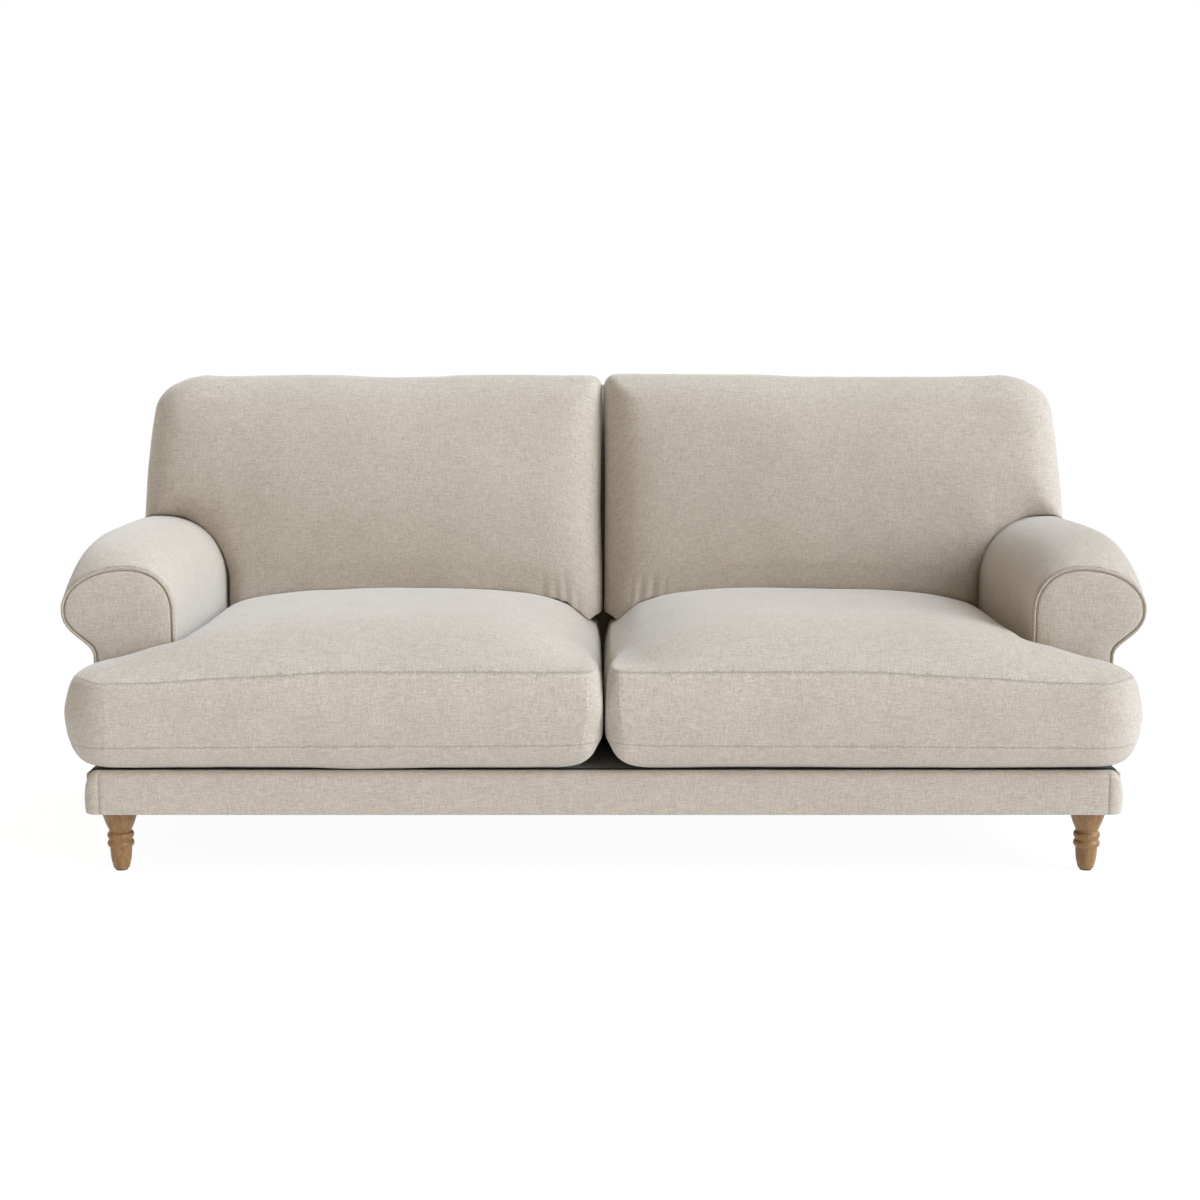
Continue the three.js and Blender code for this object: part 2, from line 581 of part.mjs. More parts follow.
function addArm(parent, side) {
  const facing = uprightPanel(
    outlineShape(armOutline(0, 0, 2 * PIPING_RADIUS + PIPING_GAP)),
    FACING_THICKNESS,
  );
  add(parent, `arm_facing_${side}`, facing, "linen").position.y = ARM_FRONT;
  add(parent, `arm_piping_${side}`, armPiping(), "piping");

  const boardShape = outlineShape(armOutline(0, 0, ARM_BOARD_INSET));
  const frontBoard = uprightPanel(boardShape, ARM_BOARD_THICKNESS);
  add(parent, `arm_front_board_${side}`, frontBoard, "beech").position.y = ARM_BODY_FRONT;
  const rearFace = BACK_TIMBER_FACE - JOIN_GAP - ARM_BOARD_THICKNESS;
  const rearBoard = rearBoardGeometry(rearFace, 0);
  add(parent, `arm_rear_board_${side}`, rearBoard, "beech");

  const railZ = [ARM_HEIGHT - ARM_RAIL_DROP - ARM_RAIL_HEIGHT, ARM_HEIGHT - ARM_RAIL_DROP];
  const railFront = ARM_BODY_FRONT + ARM_BOARD_THICKNESS + JOIN_GAP;
  const railX = ARM_INNER + CREST_INSET - ARM_RAIL_WIDTH / 2;
  const rail = rakedBoard(railFront, railZ, rearFace, ARM_RAIL_WIDTH);
  add(parent, `arm_rail_${side}`, rail, "beech").position.x = railX;

  const tunnelZ = [railZ[0] - JOIN_GAP, railZ[1] + JOIN_GAP];
  const tunnelWidth = ARM_RAIL_WIDTH + 2 * JOIN_GAP;
  const tunnel = rakedBoard(railFront - OVERRUN, tunnelZ, rearFace + 2 * JOIN_GAP, tunnelWidth);
  tunnel.translate(railX - JOIN_GAP, 0, 0);
  const below = DECK_BOTTOM - OVERRUN;
  const recess = uprightPanel(
    outlineShape(armOutline(0, 0, ARM_BOARD_INSET - JOIN_GAP, below)),
    ARM_BOARD_THICKNESS + OVERRUN + JOIN_GAP,
  );
  recess.translate(0, ARM_BODY_FRONT - OVERRUN, 0);
  const slot = rearBoardGeometry(rearFace, JOIN_GAP);
  const panelRoom = new THREE.BoxGeometry(ROLL_OVERHANG, OVERALL_DEPTH, NECK_HEIGHT);
  const panelSide = OUTSIDE_PANEL_INNER - JOIN_GAP + ROLL_OVERHANG / 2;
  panelRoom.translate(panelSide, 0, NECK_HEIGHT / 2);
  const padding = cut(armBody(0), tunnel, recess, slot, panelRoom, wingPostSlot());
  add(parent, `arm_padding_${side}`, padding, "linen");

  const panelFront = ARM_BODY_FRONT;
  const panelZ = [DECK_BOTTOM, NECK_HEIGHT - JOIN_GAP];
  const outside = rakedBoard(panelFront, panelZ, BACK_PANEL_FACE, OUTSIDE_PANEL_THICKNESS);
  add(parent, `arm_outside_panel_${side}`, outside, "linen").position.x = OUTSIDE_PANEL_INNER;
}

// Room for the back's wing post, which runs down through the rear of the arm
function wingPostSlot() {
  const width = BACK_WING_POST_WIDTH + 2 * JOIN_GAP;
  const depth = BACK_TIMBER_THICKNESS + 2 * JOIN_GAP + OVERRUN;
  const slot = new THREE.BoxGeometry(width, depth, 2 * BACK_HEIGHT);
  slot.translate(WING_POST[0] - JOIN_GAP + width / 2, BACK_TIMBER_FACE - JOIN_GAP + depth / 2, 0);
  return slot.rotateX(-BACK_LEAN).translate(0, BACK_FACE, BACK_FLOOR);
}

// The board inside the rear of the arm, leaned with the back. grow makes the slot it stands in.
function rearBoardGeometry(face, grow) {
  const foot = grow ? DECK_BOTTOM - OVERRUN : DECK_BOTTOM;
  const outline = armOutline(0, 0, ARM_BOARD_INSET - grow, foot);
  const ringAt = (offset) => outline.map(({ x, y: z }) => new THREE.Vector3(x, leanY(z, offset), z));
  return loft([ringAt(face - grow), ringAt(face + ARM_BOARD_THICKNESS + grow)]);
}

// Fabric-covered cord round the edge of the arm's front panel
function armPiping() {
  const y = ARM_FRONT + FACING_THICKNESS / 2;
  const corners = armOutline(0, 0, PIPING_RADIUS).map(({ x, y: z }) => new THREE.Vector3(x, y, z));
  const points = corners.slice(0, -1).flatMap((corner, i) => {
    const straight = i === 0 || i === corners.length - 2;
    const steps = straight ? STRAIGHT_STEPS : 1;
    return Array.from({ length: steps }, (_, k) => corner.clone().lerp(corners[i + 1], k / steps));
  });
  points.push(corners.at(-1));
  const section = new THREE.Shape();
  section.absarc(0, 0, PIPING_RADIUS, 0, 2 * Math.PI);
  return new THREE.ExtrudeGeometry(section, {
    curveSegments: PIPING_SIDES,
    steps: PIPING_STEPS,
    extrudePath: new THREE.CatmullRomCurve3(points, false, "centripetal"),
  });
}

// The back's outer outline in X and up the slope, right half from foot to top
function backHalfCorners(foot, inset) {
  const top = BACK_HEIGHT - inset;
  const low = BACK_SIDE - inset;
  return [
    [low, foot, 0],
    [low - BACK_SIDE_TAPER, top, BACK_CORNER_RADIUS - inset],
  ];
}

function mirrorCorners(corners) {
  return corners.map(([x, z, radius]) => [-x, z, radius]).reverse();
}

function addBack(back) {
  const armTop = upSlope(ARM_HEIGHT - ARM_SWELL / 2);
  const arm = inBackFrame(armBody(REST_GAP));
  const arms = [arm, mirrored(arm)];

  const padHalf = backHalfCorners(armTop, BACK_BORDER_INNER);
  const padFoot = BACK_PAD_FOOT - REST_GAP;
  const padInner = ARM_INNER - REST_GAP;
  const padShape = roundedShape([
    [-padInner, -padFoot, 0],
    [padInner, -padFoot, 0],
    [padInner, armTop, 0],
    ...padHalf,
    ...mirrorCorners(padHalf),
    [-padInner, armTop, 0],
  ]);
  const pad = cut(uprightPanel(padShape, BACK_PAD_THICKNESS), ...arms);
  add(back, "back_inside_pad", pad, "linen");

  const whole = uprightPanel(padShape, BACK_TIMBER_THICKNESS).translate(0, BACK_TIMBER[0], 0);
  const above = new THREE.BoxGeometry(OVERALL_WIDTH, OVERALL_DEPTH, 2 * BACK_TOP_RAIL_HEIGHT);
  above.translate(0, 0, TOP_RAIL_BOTTOM + BACK_TOP_RAIL_HEIGHT);
  add(back, "back_top_rail", geometryOf(solidOf(whole).intersect(solidOf(above))), "beech");
  const lowerTop = BACK_LOWER_RAIL_LEVEL + BACK_LOWER_RAIL_HEIGHT;
  const postInner = ARM_INNER - REST_GAP - BACK_POST_WIDTH;
  const lowerX = [-postInner + JOIN_GAP, postInner - JOIN_GAP];
  const lowerZ = [BACK_LOWER_RAIL_LEVEL, lowerTop];
  addBar(back, "back_lower_rail", "beech", lowerX, BACK_TIMBER, lowerZ);
  const middle = [-BACK_POST_WIDTH / 2, BACK_POST_WIDTH / 2];
  const middleZ = [lowerTop + JOIN_GAP, TOP_RAIL_BOTTOM - JOIN_GAP];
  addBar(back, "back_centre_post", "beech", middle, BACK_TIMBER, middleZ);

  const strapsX = [-ARM_INNER + WEBBING_MARGIN, ARM_INNER - WEBBING_MARGIN];
  const strapsZ = [BACK_LOWER_RAIL_LEVEL, BACK_HEIGHT - BACK_BORDER_INNER];
  const straps = webbing(strapsX, strapsZ, BACK_STRAP_COLUMNS, BACK_STRAP_ROWS).rotateX(Math.PI / 2);
  const middleOfStraps = BACK_WEBBING_FACE + WEBBING_THICKNESS / 2;
  add(back, "back_webbing", straps, "webbing").position.y = middleOfStraps;

  const panelHalf = backHalfCorners(armTop, 0);
  const panelShape = roundedShape([
    [-BASE_SIDE, -BACK_PANEL_HEM, 0],
    [BASE_SIDE, -BACK_PANEL_HEM, 0],
    [BASE_SIDE, armTop, 0],
    ...panelHalf,
    ...mirrorCorners(panelHalf),
    [-BASE_SIDE, armTop, 0],
  ]);
  const panel = uprightPanel(panelShape, OUTSIDE_PANEL_THICKNESS);
  add(back, "back_outside_panel", panel, "linen").position.y = BACK_PANEL_FACE;

  addBackBorders(back, armTop, BACK_PANEL_FACE - JOIN_GAP, arm);
  for (const [side, sign] of [["left", -1], ["right", 1]]) {
    const half = new THREE.Group();
    half.scale.x = sign;
    back.add(half);
    const postX = [postInner, postInner + BACK_POST_WIDTH];
    const postZ = [-BACK_POST_FOOT, TOP_RAIL_BOTTOM - JOIN_GAP];
    addBar(half, `back_post_${side}`, "beech", postX, BACK_TIMBER, postZ);
    addBar(half, `back_wing_post_${side}`, "beech", WING_POST, BACK_TIMBER, postZ);
  }
}

// The fabric-covered border round the back's edge: two sides that end on the arms, and a top
function addBackBorders(back, foot, depth, arm) {
  const joint = BACK_HEIGHT - 2 * BACK_CORNER_RADIUS;
  const sideShare = (joint - foot) / (BACK_HEIGHT - foot);
  const narrowing = BACK_SIDE_TAPER * sideShare;
  const inner = BACK_BORDER_THICKNESS;
  for (const [side, sign] of [["left", -1], ["right", 1]]) {
    const strip = roundedShape([
      [BACK_SIDE - inner, foot, 0],
      [BACK_SIDE, foot, 0],
      [BACK_SIDE - narrowing, joint - JOIN_GAP, 0],
      [BACK_SIDE - narrowing - inner, joint - JOIN_GAP, 0],
    ]);
    const half = new THREE.Group();
    half.scale.x = sign;
    back.add(half);
    const border = cut(uprightPanel(strip, depth), arm);
    add(half, `back_side_border_${side}`, border, "linen");
  }
  const outer = backHalfCorners(foot, 0);
  outer[0] = [BACK_SIDE - narrowing, joint, 0];
  const inset = backHalfCorners(foot, inner);
  inset[0] = [BACK_SIDE - narrowing - inner, joint, 0];
  const hoop = roundedShape([
    ...outer,
    ...mirrorCorners(outer),
    ...inset.map(([x, z, radius]) => [-x, z, radius]),
    ...[...inset].reverse(),
  ]);
  add(back, "back_top_border", uprightPanel(hoop, depth), "linen");
}

// How far a surface has risen to its full height at a distance from its edge, 0 to 1
function rounding(distance, reach, power) {
  const share = Math.min(Math.max(distance / reach, 0), 1);
  return 1 - (1 - share) ** power;
}

// How far a round corner draws a side in at a distance from the corner's end
function cornerInset(distance, radius) {
  if (distance >= radius || radius <= 0) return 0;
  return radius - Math.sqrt(radius ** 2 - (radius - distance) ** 2);
}

const SEAT_BOTTOM = DECK_TOP + REST_GAP;
const SEAT_FRONT = -OVERALL_DEPTH / 2 + SEAT_FRONT_BULGE;
const SEAT_INNER = CUSHION_HALF_GAP + SEAT_INNER_BULGE;
const SEAT_OUTER = BASE_SIDE + SEAT_SIDE_OVERHANG;
const SEAT_ARM_SIDE = ARM_INNER - REST_GAP;
const SEAT_WING_REAR = ARM_FRONT - REST_GAP;
const SEAT_TOP_SEAM = SEAT_BOTTOM + SEAT_SEAM_HEIGHT;

function seatRear(z) {
  return leanY(z, -SEAT_REAR_CLEARANCE);
}

// Height of the seat cushion's crowned top over a point in plan
function seatTop(x, y) {
  const rear = seatRear(SEAT_TOP_SEAM);
  let share = rounding(y - SEAT_FRONT, SEAT_FRONT_ROUND, FRONT_CROWN_POWER);
  share *= rounding(x - SEAT_INNER, SEAT_INNER_ROUND, INNER_CROWN_POWER);
  share *= rounding(SEAT_OUTER - x, SEAT_SIDE_ROUND, SIDE_CROWN_POWER);
  share *= rounding(rear - y, SEAT_REAR_ROUND, REAR_CROWN_POWER);
  const squeezed = 1 - rounding(SEAT_ARM_SIDE - x, SEAT_ARM_ROUND, ARM_CROWN_POWER);
  const behindWing = rounding(y - SEAT_WING_REAR, SEAT_ARM_ROUND, ARM_CROWN_POWER);
  share *= 1 - ARM_CROWN_SHARE * squeezed * behindWing;
  return SEAT_TOP_SEAM + SEAT_CROWN * share;
}

// Rows of the seat cushion's plan, front to rear: corner, wing, the step beside the arm, body.
// inset holds how far each side is drawn in, and z is the height the raked rear end is taken at.
function seatRows(inset, z) {
  const front = SEAT_FRONT + inset.front;
  const inner = SEAT_INNER + inset.inner;
  const outer = SEAT_OUTER - inset.outer;
  const wingRear = SEAT_WING_REAR - inset.hidden;
  const armSide = SEAT_ARM_SIDE - inset.hidden;
  const rear = seatRear(z) - inset.hidden;
  const outerRadius = SEAT_CORNER_RADIUS - inset.outer;
  const innerRadius = SEAT_INNER_RADIUS - inset.inner;
  const rows = [];
  for (let k = 0; k <= CORNER_ROWS; k++) {
    const back = outerRadius * (1 - Math.cos(quarter(k, CORNER_ROWS)));
    const low = inner + cornerInset(back, innerRadius);
    rows.push({ y: front + back, low, high: outer - cornerInset(back, outerRadius) });
  }
  const wingStart = rows.at(-1).y;
  for (let k = 1; k <= WING_ROWS; k++) {
    rows.push({ y: lerp(wingStart, wingRear, k / WING_ROWS), low: inner, high: outer });
  }
  const bodyStart = wingRear + REST_GAP;
  for (let k = 0; k <= BODY_ROWS; k++) {
    const share = Math.sin(quarter(k, BODY_ROWS));
    rows.push({ y: lerp(bodyStart, rear, share), low: inner, high: armSide });
  }
  return rows;
}

// A closed body from a grid over its top, rings round its sides and a grid over its bottom.
// at(level, column, row) gives each point, level 0 on top and the last level underneath.
function quilt(at, levels, columns, rows) {
  const positions = [];
  const index = [];
  const edge = [];
  for (let i = 0; i < columns; i++) edge.push([i, 0]);
  for (let j = 0; j < rows; j++) edge.push([columns, j]);
  for (let i = columns; i > 0; i--) edge.push([i, rows]);
  for (let j = rows; j > 0; j--) edge.push([0, j]);
  const point = (level, i, j) => positions.push(...at(level, i, j)) / 3 - 1;
  const sheet = (level) =>
    Array.from({ length: rows + 1 }, (_, j) =>
      Array.from({ length: columns + 1 }, (_, i) => point(level, i, j)),
    );
  const top = sheet(0);
  const bottom = sheet(levels);
  const loops = [edge.map(([i, j]) => top[j][i])];
  for (let level = 1; level < levels; level++) {
    loops.push(edge.map(([i, j]) => point(level, i, j)));
  }
  loops.push(edge.map(([i, j]) => bottom[j][i]));
  for (let j = 0; j < rows; j++) {
    for (let i = 0; i < columns; i++) {
      const [a, b, c, d] = [top[j][i], top[j][i + 1], top[j + 1][i + 1], top[j + 1][i]];
      index.push(a, b, c, a, c, d);
      const [e, f, g, h] = [bottom[j][i], bottom[j][i + 1], bottom[j + 1][i + 1], bottom[j + 1][i]];
      index.push(e, g, f, e, h, g);
    }
  }
  for (let level = 0; level < levels; level++) {
    for (let k = 0; k < edge.length; k++) {
      const next = (k + 1) % edge.length;
      const [a, b] = [loops[level][k], loops[level][next]];
      const [c, d] = [loops[level + 1][next], loops[level + 1][k]];
      index.push(a, c, b, a, d, c);
    }
  }
  const geometry = new THREE.BufferGeometry().setIndex(index);
  geometry.setAttribute("position", new THREE.Float32BufferAttribute(positions, 3));
  return geometry;
}

// Seat cushion: a crowned top over boxed sides that bulge and draw in again underneath
function seatCushion() {
  const levels = SEAT_SIDE_SHARES.map(([height, out, under]) => {
    const inset = {
      front: under * SEAT_FRONT_UNDERCUT - out * SEAT_FRONT_BULGE,
      outer: under * SEAT_SIDE_UNDERCUT - out * SEAT_SIDE_BULGE,
      inner: under * SEAT_INNER_UNDERCUT - out * SEAT_INNER_BULGE,
      hidden: under * SEAT_REAR_UNDERCUT,
    };
    return { inset, z: SEAT_BOTTOM + height * SEAT_SEAM_HEIGHT };
  }).reverse();
  const plans = levels.map(({ inset, z }) => seatRows(inset, z));
  const at = (level, i, j) => {
    const row = plans[level][j];
    const share = (1 - Math.cos((i / SEAT_COLUMNS) * Math.PI)) / 2;
    const x = lerp(row.low, row.high, share);
    return [x, row.y, level === 0 ? seatTop(x, row.y) : levels[level].z];
  };
  return quilt(at, levels.length - 1, SEAT_COLUMNS, plans[0].length - 1);
}

const CUSHION_SIDE = ARM_OUTER + CUSHION_WING_OVERHANG;
const CUSHION_WING_LEVEL = upSlope(ARM_HEIGHT) - CUSHION_WING_DROP;

// Distances of steps across a cushion from low to high, close together at its rounded edges
function edgeSteps(low, high, middle) {
  const reach = Math.min(CUSHION_EDGE_ROUND, (high - low) / 3);
  const steps = [];
  for (let k = 0; k <= EDGE_STEPS; k++) {
    steps.push(low + reach * (1 - Math.cos(quarter(k, EDGE_STEPS))));
  }
  for (let k = 1; k < middle; k++) steps.push(lerp(low + reach, high - reach, k / middle));
  for (let k = EDGE_STEPS; k >= 0; k--) {
    steps.push(high - reach * (1 - Math.cos(quarter(k, EDGE_STEPS))));
  }
  return steps;
}

// Rows of the back cushion from foot to top, with the step out to its wing over the arm
function backCushionRows() {
  const lowSide = ARM_INNER - REST_GAP;
  const body = edgeSteps(CUSHION_FOOT, CUSHION_TOP, MIDDLE_STEPS);
  const heights = [
    ...body.filter((z) => z < CUSHION_WING_LEVEL - REST_GAP),
    CUSHION_WING_LEVEL - REST_GAP,
    CUSHION_WING_LEVEL,
    ...body.filter((z) => z > CUSHION_WING_LEVEL),
  ];
  return heights.map((z) => {
    const fromFoot = z - CUSHION_FOOT;
    const fromTop = CUSHION_TOP - z;
    const low =
      CUSHION_HALF_GAP +
      cornerInset(fromFoot, CUSHION_INNER_RADIUS) +
      cornerInset(fromTop, CUSHION_INNER_RADIUS);
    const winged = z >= CUSHION_WING_LEVEL;
    const climb = (z - CUSHION_WING_LEVEL) / (CUSHION_TOP - CUSHION_WING_LEVEL);
    const side = winged ? CUSHION_SIDE - CUSHION_SIDE_TAPER * climb ** 2 : lowSide;
    const high =
      side - cornerInset(fromFoot, CUSHION_INNER_RADIUS) - cornerInset(fromTop, CUSHION_TOP_RADIUS);
    return { z, low, high };
  });
}

// Fullness of the back cushion near its edges, 0 at the edge and 1 in the body
function fullness(distance) {
  const share = Math.min(Math.max(distance / CUSHION_EDGE_ROUND, 0), 1);
  return Math.sqrt(1 - (1 - share) ** 2);
}

// Back cushion: a pillow with bull-nosed edges, fitted over the seat cushion and the arm
function backCushion(seat) {
  const rows = backCushionRows();
  const columns = edgeSteps(0, 1, MIDDLE_STEPS).length - 1;
  const half = CUSHION_THICKNESS / 2;
  const at = (level, i, j) => {
    const { z, low, high } = rows[j];
    const x = edgeSteps(low, high, MIDDLE_STEPS)[i];
    const upper = fullness(z - CUSHION_FOOT) * fullness(CUSHION_TOP - z);
    const full = fullness(x - low) * fullness(high - x) * upper;
    const across = Math.sin(((x - low) / (high - low)) * Math.PI);
    const up = Math.sin(((z - CUSHION_FOOT) / (CUSHION_TOP - CUSHION_FOOT)) * Math.PI);
    const crown = CUSHION_CROWN * across * up * upper;
    const behind = -SEAT_REAR_CLEARANCE - half;
    return [x, level === 0 ? behind - half * full - crown : behind + half * full, z];
  };
  const pillow = quilt(at, 1, columns, rows.length - 1);
  pillow.rotateX(-BACK_LEAN).translate(0, BACK_FACE, BACK_FLOOR);
  return cut(pillow, seat.clone().translate(0, 0, REST_GAP), armBody(REST_GAP));
}

function addCushions(parent, side) {
  const seat = seatCushion();
  add(parent, `seat_cushion_${side}`, seat, "linen");
  add(parent, `back_cushion_${side}`, backCushion(seat), "linen");
}

function makeSofa() {
  const sofa = new THREE.Group();
  addBaseFrame(sofa);
  for (const [side, sign] of [["left", -1], ["right", 1]]) {
    const half = new THREE.Group();
    half.scale.x = sign;
    sofa.add(half);
    addLegs(half, side);
    addBaseSide(half, side);
    addSeatWebbing(half, side);
    addArm(half, side);
    addCushions(half, side);
  }
  const back = new THREE.Group();
  back.rotation.x = -BACK_LEAN;
  back.position.set(0, BACK_FACE, BACK_FLOOR);
  sofa.add(back);
  addBack(back);
  return sofa;
}

export default makeSofa();
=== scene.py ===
# %% [markdown]
# # An English roll arm sofa
# This notebook dresses a plain engineering model of a two-seat sofa, so that it looks like the real one: low
# rolled arms with piped front panels, deep seat cushions that run out in front of the arms, back cushions whose
# wings spread over the arms, a slim upholstered base and turned oak legs.
# The frame is loaded first. Every piece made here is drawn at the place where the frame says it is, in metres.

import math
from functools import partial

import bmesh
import bpy
import numpy as np
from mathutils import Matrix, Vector, geometry
from mathutils.bvhtree import BVHTree


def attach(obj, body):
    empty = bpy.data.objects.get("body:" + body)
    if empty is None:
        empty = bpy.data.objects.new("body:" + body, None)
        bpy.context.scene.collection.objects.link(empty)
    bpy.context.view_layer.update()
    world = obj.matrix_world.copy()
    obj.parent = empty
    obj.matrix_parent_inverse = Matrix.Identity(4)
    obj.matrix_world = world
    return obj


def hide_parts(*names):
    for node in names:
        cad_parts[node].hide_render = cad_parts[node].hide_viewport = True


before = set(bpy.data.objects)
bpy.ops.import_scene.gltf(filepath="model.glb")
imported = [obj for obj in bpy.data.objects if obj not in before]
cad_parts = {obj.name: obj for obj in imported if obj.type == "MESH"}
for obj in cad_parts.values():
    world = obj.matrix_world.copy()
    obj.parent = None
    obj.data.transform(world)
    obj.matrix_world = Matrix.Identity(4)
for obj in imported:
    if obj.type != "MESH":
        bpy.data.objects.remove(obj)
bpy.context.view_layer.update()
print("nodes:", len(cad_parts))

# %% [markdown]
# ## The sofa's sizes
# The formulas of the engineering model are repeated here in millimetres, because upholsterers and joiners
# measure in them. A mesh is turned into metres only when it is finished.
# All places are for the right-hand side. The left-hand side mirrors them.

# %% Sizes in millimetres
MM = 0.001
HALF_WIDTH, DEPTH = 1075.0, 1010.0
LEAN = math.radians(10)
COS, SIN, TAN = math.cos(LEAN), math.sin(LEAN), math.tan(LEAN)
LEG_HEIGHT, LEG_RADIUS = 128.0, 35.0
BASE_FRONT, BASE_SIDE, RAIL_TOP = -473.0, 1007.0, 205.3
ARM_INNER, ARM_OUTER = 850.0, 1013.0
ARM_FRONT, ARM_BODY_FRONT, NECK_HEIGHT = -333.0, -324.7, 413.0
DECK_BOTTOM, BACK_FLOOR = 207.9, 216.9
BACK_REAR, BACK_HEIGHT, PANEL_FACE = 59.9, 725.0, 49.9
BACK_FACE = DEPTH / 2 - BACK_REAR * COS - BACK_HEIGHT * SIN
CLEAR = 0.3  # between neighbours that don't touch
SIDES = (("left", True, 21), ("right", False, 31))  # name, mirrored or not, and seed
print("front face of the back at the deck:", round(BACK_FACE, 1), "mm")


# %% Helpers for shapes
def lean_y(z, offset=0.0):
    """Y of a layer of the raked back at height z."""
    return BACK_FACE + (z - BACK_FLOOR) * TAN + offset / COS


def lean_out(x, y, s):
    """Points of the raked back's own frame, as points of the sofa."""
    return np.stack([x, BACK_FACE + y * COS + s * SIN, BACK_FLOOR - y * SIN + s * COS], -1)


def lerp(a, b, share):
    return a + (b - a) * share


def rounding(distance, reach, power=2.2):
    """How far a crowned surface has risen at a distance from its edge, 0 to 1."""
    return 1 - (1 - np.clip(distance / reach, 0, 1)) ** power


def nose(distance, reach):
    """The same for a bull-nosed edge, which starts upright."""
    return np.sqrt(1 - (1 - np.clip(distance / reach, 0, 1)) ** 2)


def fade(distance, reach):
    """1 at a distance of zero, and falling evenly to 0."""
    return np.clip(1 - distance / reach, 0, 1)


def corner_inset(distance, radius):
    """How far a round corner draws a side in at a distance from the corner's end."""
    radius = max(radius, 1e-6)
    near = np.clip(distance, 0, radius)
    return radius - np.sqrt(radius**2 - (radius - near) ** 2)


def stay_above(clearance, soft):
    """Clearance that never falls under zero and turns smoothly, as stuffing does where it is pressed."""
    return (clearance + np.sqrt(clearance**2 + soft**2)) / 2


def running_length(points):
    """How far along a line of points each of them lies."""
    return np.concatenate([[0], np.cumsum(np.linalg.norm(np.diff(points, axis=0), axis=1))])


def even_steps(points, count):
    """A line of points cut again into count even steps."""
    along = running_length(points)
    at = np.linspace(0, along[-1], count + 1)
    return np.stack([np.interp(at, along, column) for column in points.T], 1)


def smooth_curve(points, count):
    """A smooth curve through points, cut into count even steps."""
    points = np.asarray(points, float)
    padded = np.vstack([2 * points[0] - points[1], points, 2 * points[-1] - points[-2]])
    t = np.linspace(0, 1, 24, endpoint=False)[:, None]
    fine = []
    for a, b, c, d in zip(padded, padded[1:], padded[2:], padded[3:]):
        square, cube = a - 2.5 * b + 2 * c - d / 2, 1.5 * b - a / 2 - 1.5 * c + d / 2
        fine.append(b + (c - a) * t / 2 + square * t**2 + cube * t**3)
    return even_steps(np.vstack([*fine, points[-1:]]), count)


def to_line(points, line):
    """Distance from each point to a line of points, the way from its nearest spot, and the line's run there."""
    start, run = line[:-1], np.diff(line, axis=0)
    offset = points[:, None] - start
    share = np.clip((offset * run).sum(-1) / np.maximum((run**2).sum(-1), 1e-9), 0, 1)
    apart = offset - run * share[..., None]
    gap = np.linalg.norm(apart, axis=-1)
    best = gap.argmin(1)
    rows = np.arange(len(points))
    return gap[rows, best], apart[rows, best], run[best]


def ripple(points, size, seed):
    """Smooth random numbers from -1 to 1 over points, with features about size millimetres wide."""
    spot = np.asarray(points, float) / size + [seed * 17.3, seed * 5.1, seed * 9.7]
    cell = np.floor(spot).astype(np.int64)
    part = spot - cell
    part = part**3 * (part * (part * 6 - 15) + 10)
    total = np.zeros(len(spot))
    for corner in np.ndindex(2, 2, 2):
        x, y, z = (cell + corner).T
        mixed = (x * 73856093) ^ (y * 19349663) ^ (z * 83492791)
        mixed = (mixed ^ (mixed >> 13)) * 1274126177 & 0x7FFFFFFF
        number = ((mixed ^ (mixed >> 11)) & 0xFFFF) / 32767.5 - 1
        total += number * np.prod(np.where(corner, part, 1 - part), axis=1)
    return total


def with_third(flat, value=0.0):
    """Points in a plane with a third coordinate."""
    return np.column_stack([flat, flat[:, 0] * 0 + value])


# %% Helpers for meshes
def add_object(name, data):
    made = bpy.data.objects.new(name, data)
    bpy.context.scene.collection.objects.link(made)
    return made


class Quilt:
    """Collects points and faces. Each corner of a face also has its place on the flat cloth."""

    def __init__(self):
        self.points, self.faces, self.cloth = [], [], []

    def add(self, points):
        first = len(self.points)
        self.points.extend(np.asarray(points, float).reshape(-1, 3))
        return np.arange(first, len(self.points)).reshape(np.shape(points)[:-1])

    def face(self, corners, cloth, flip=False):
        way = -1 if flip else 1
        self.faces.append([int(c) for c in corners][::way])
        self.cloth.append([tuple(c) for c in cloth][::way])

    def grid(self, ids, cloth, flip=False):
        """Four-sided faces over a grid of point numbers, where -1 is no point."""
        for j, i in np.ndindex(ids.shape[0] - 1, ids.shape[1] - 1):
            spots = [(j, i), (j, i + 1), (j + 1, i + 1), (j + 1, i)]
            if min(ids[s] for s in spots) >= 0:
                self.face([ids[s] for s in spots], [cloth[s] for s in spots], flip)

    def object(self, name, mirror=False):
        """The finished mesh in metres, on the other side of the sofa if mirror is set."""
        way = -1 if mirror else 1
        points = np.array(self.points) * MM * [way, 1, 1]
        mesh = bpy.data.meshes.new(name)
        mesh.from_pydata(points.tolist(), [], [face[::way] for face in self.faces])
        flat = np.array([spot for face in self.cloth for spot in face[::way]]) * MM
        mesh.uv_layers.new(name="cloth").uv.foreach_set("vector", flat.astype(np.float32).ravel())
        mesh.polygons.foreach_set("use_smooth", [True] * len(mesh.polygons))
        mesh.update()
        return add_object(name, mesh)


def read(items, name, width=1, kind=float):
    """One property of all the points, edges or corners of a mesh, as rows of numbers."""
    flat = np.empty(len(items) * width, kind)
    items.foreach_get(name, flat)
    return flat.reshape(-1, width)


def points_of(piece):
    return read(piece.data.vertices, "co", 3)


def normals_of(piece):
    return read(piece.data.vertex_normals, "vector", 3, np.float32).astype(float)


def set_points(piece, points):
    piece.data.vertices.foreach_set("co", np.asarray(points).ravel())
    piece.data.update()


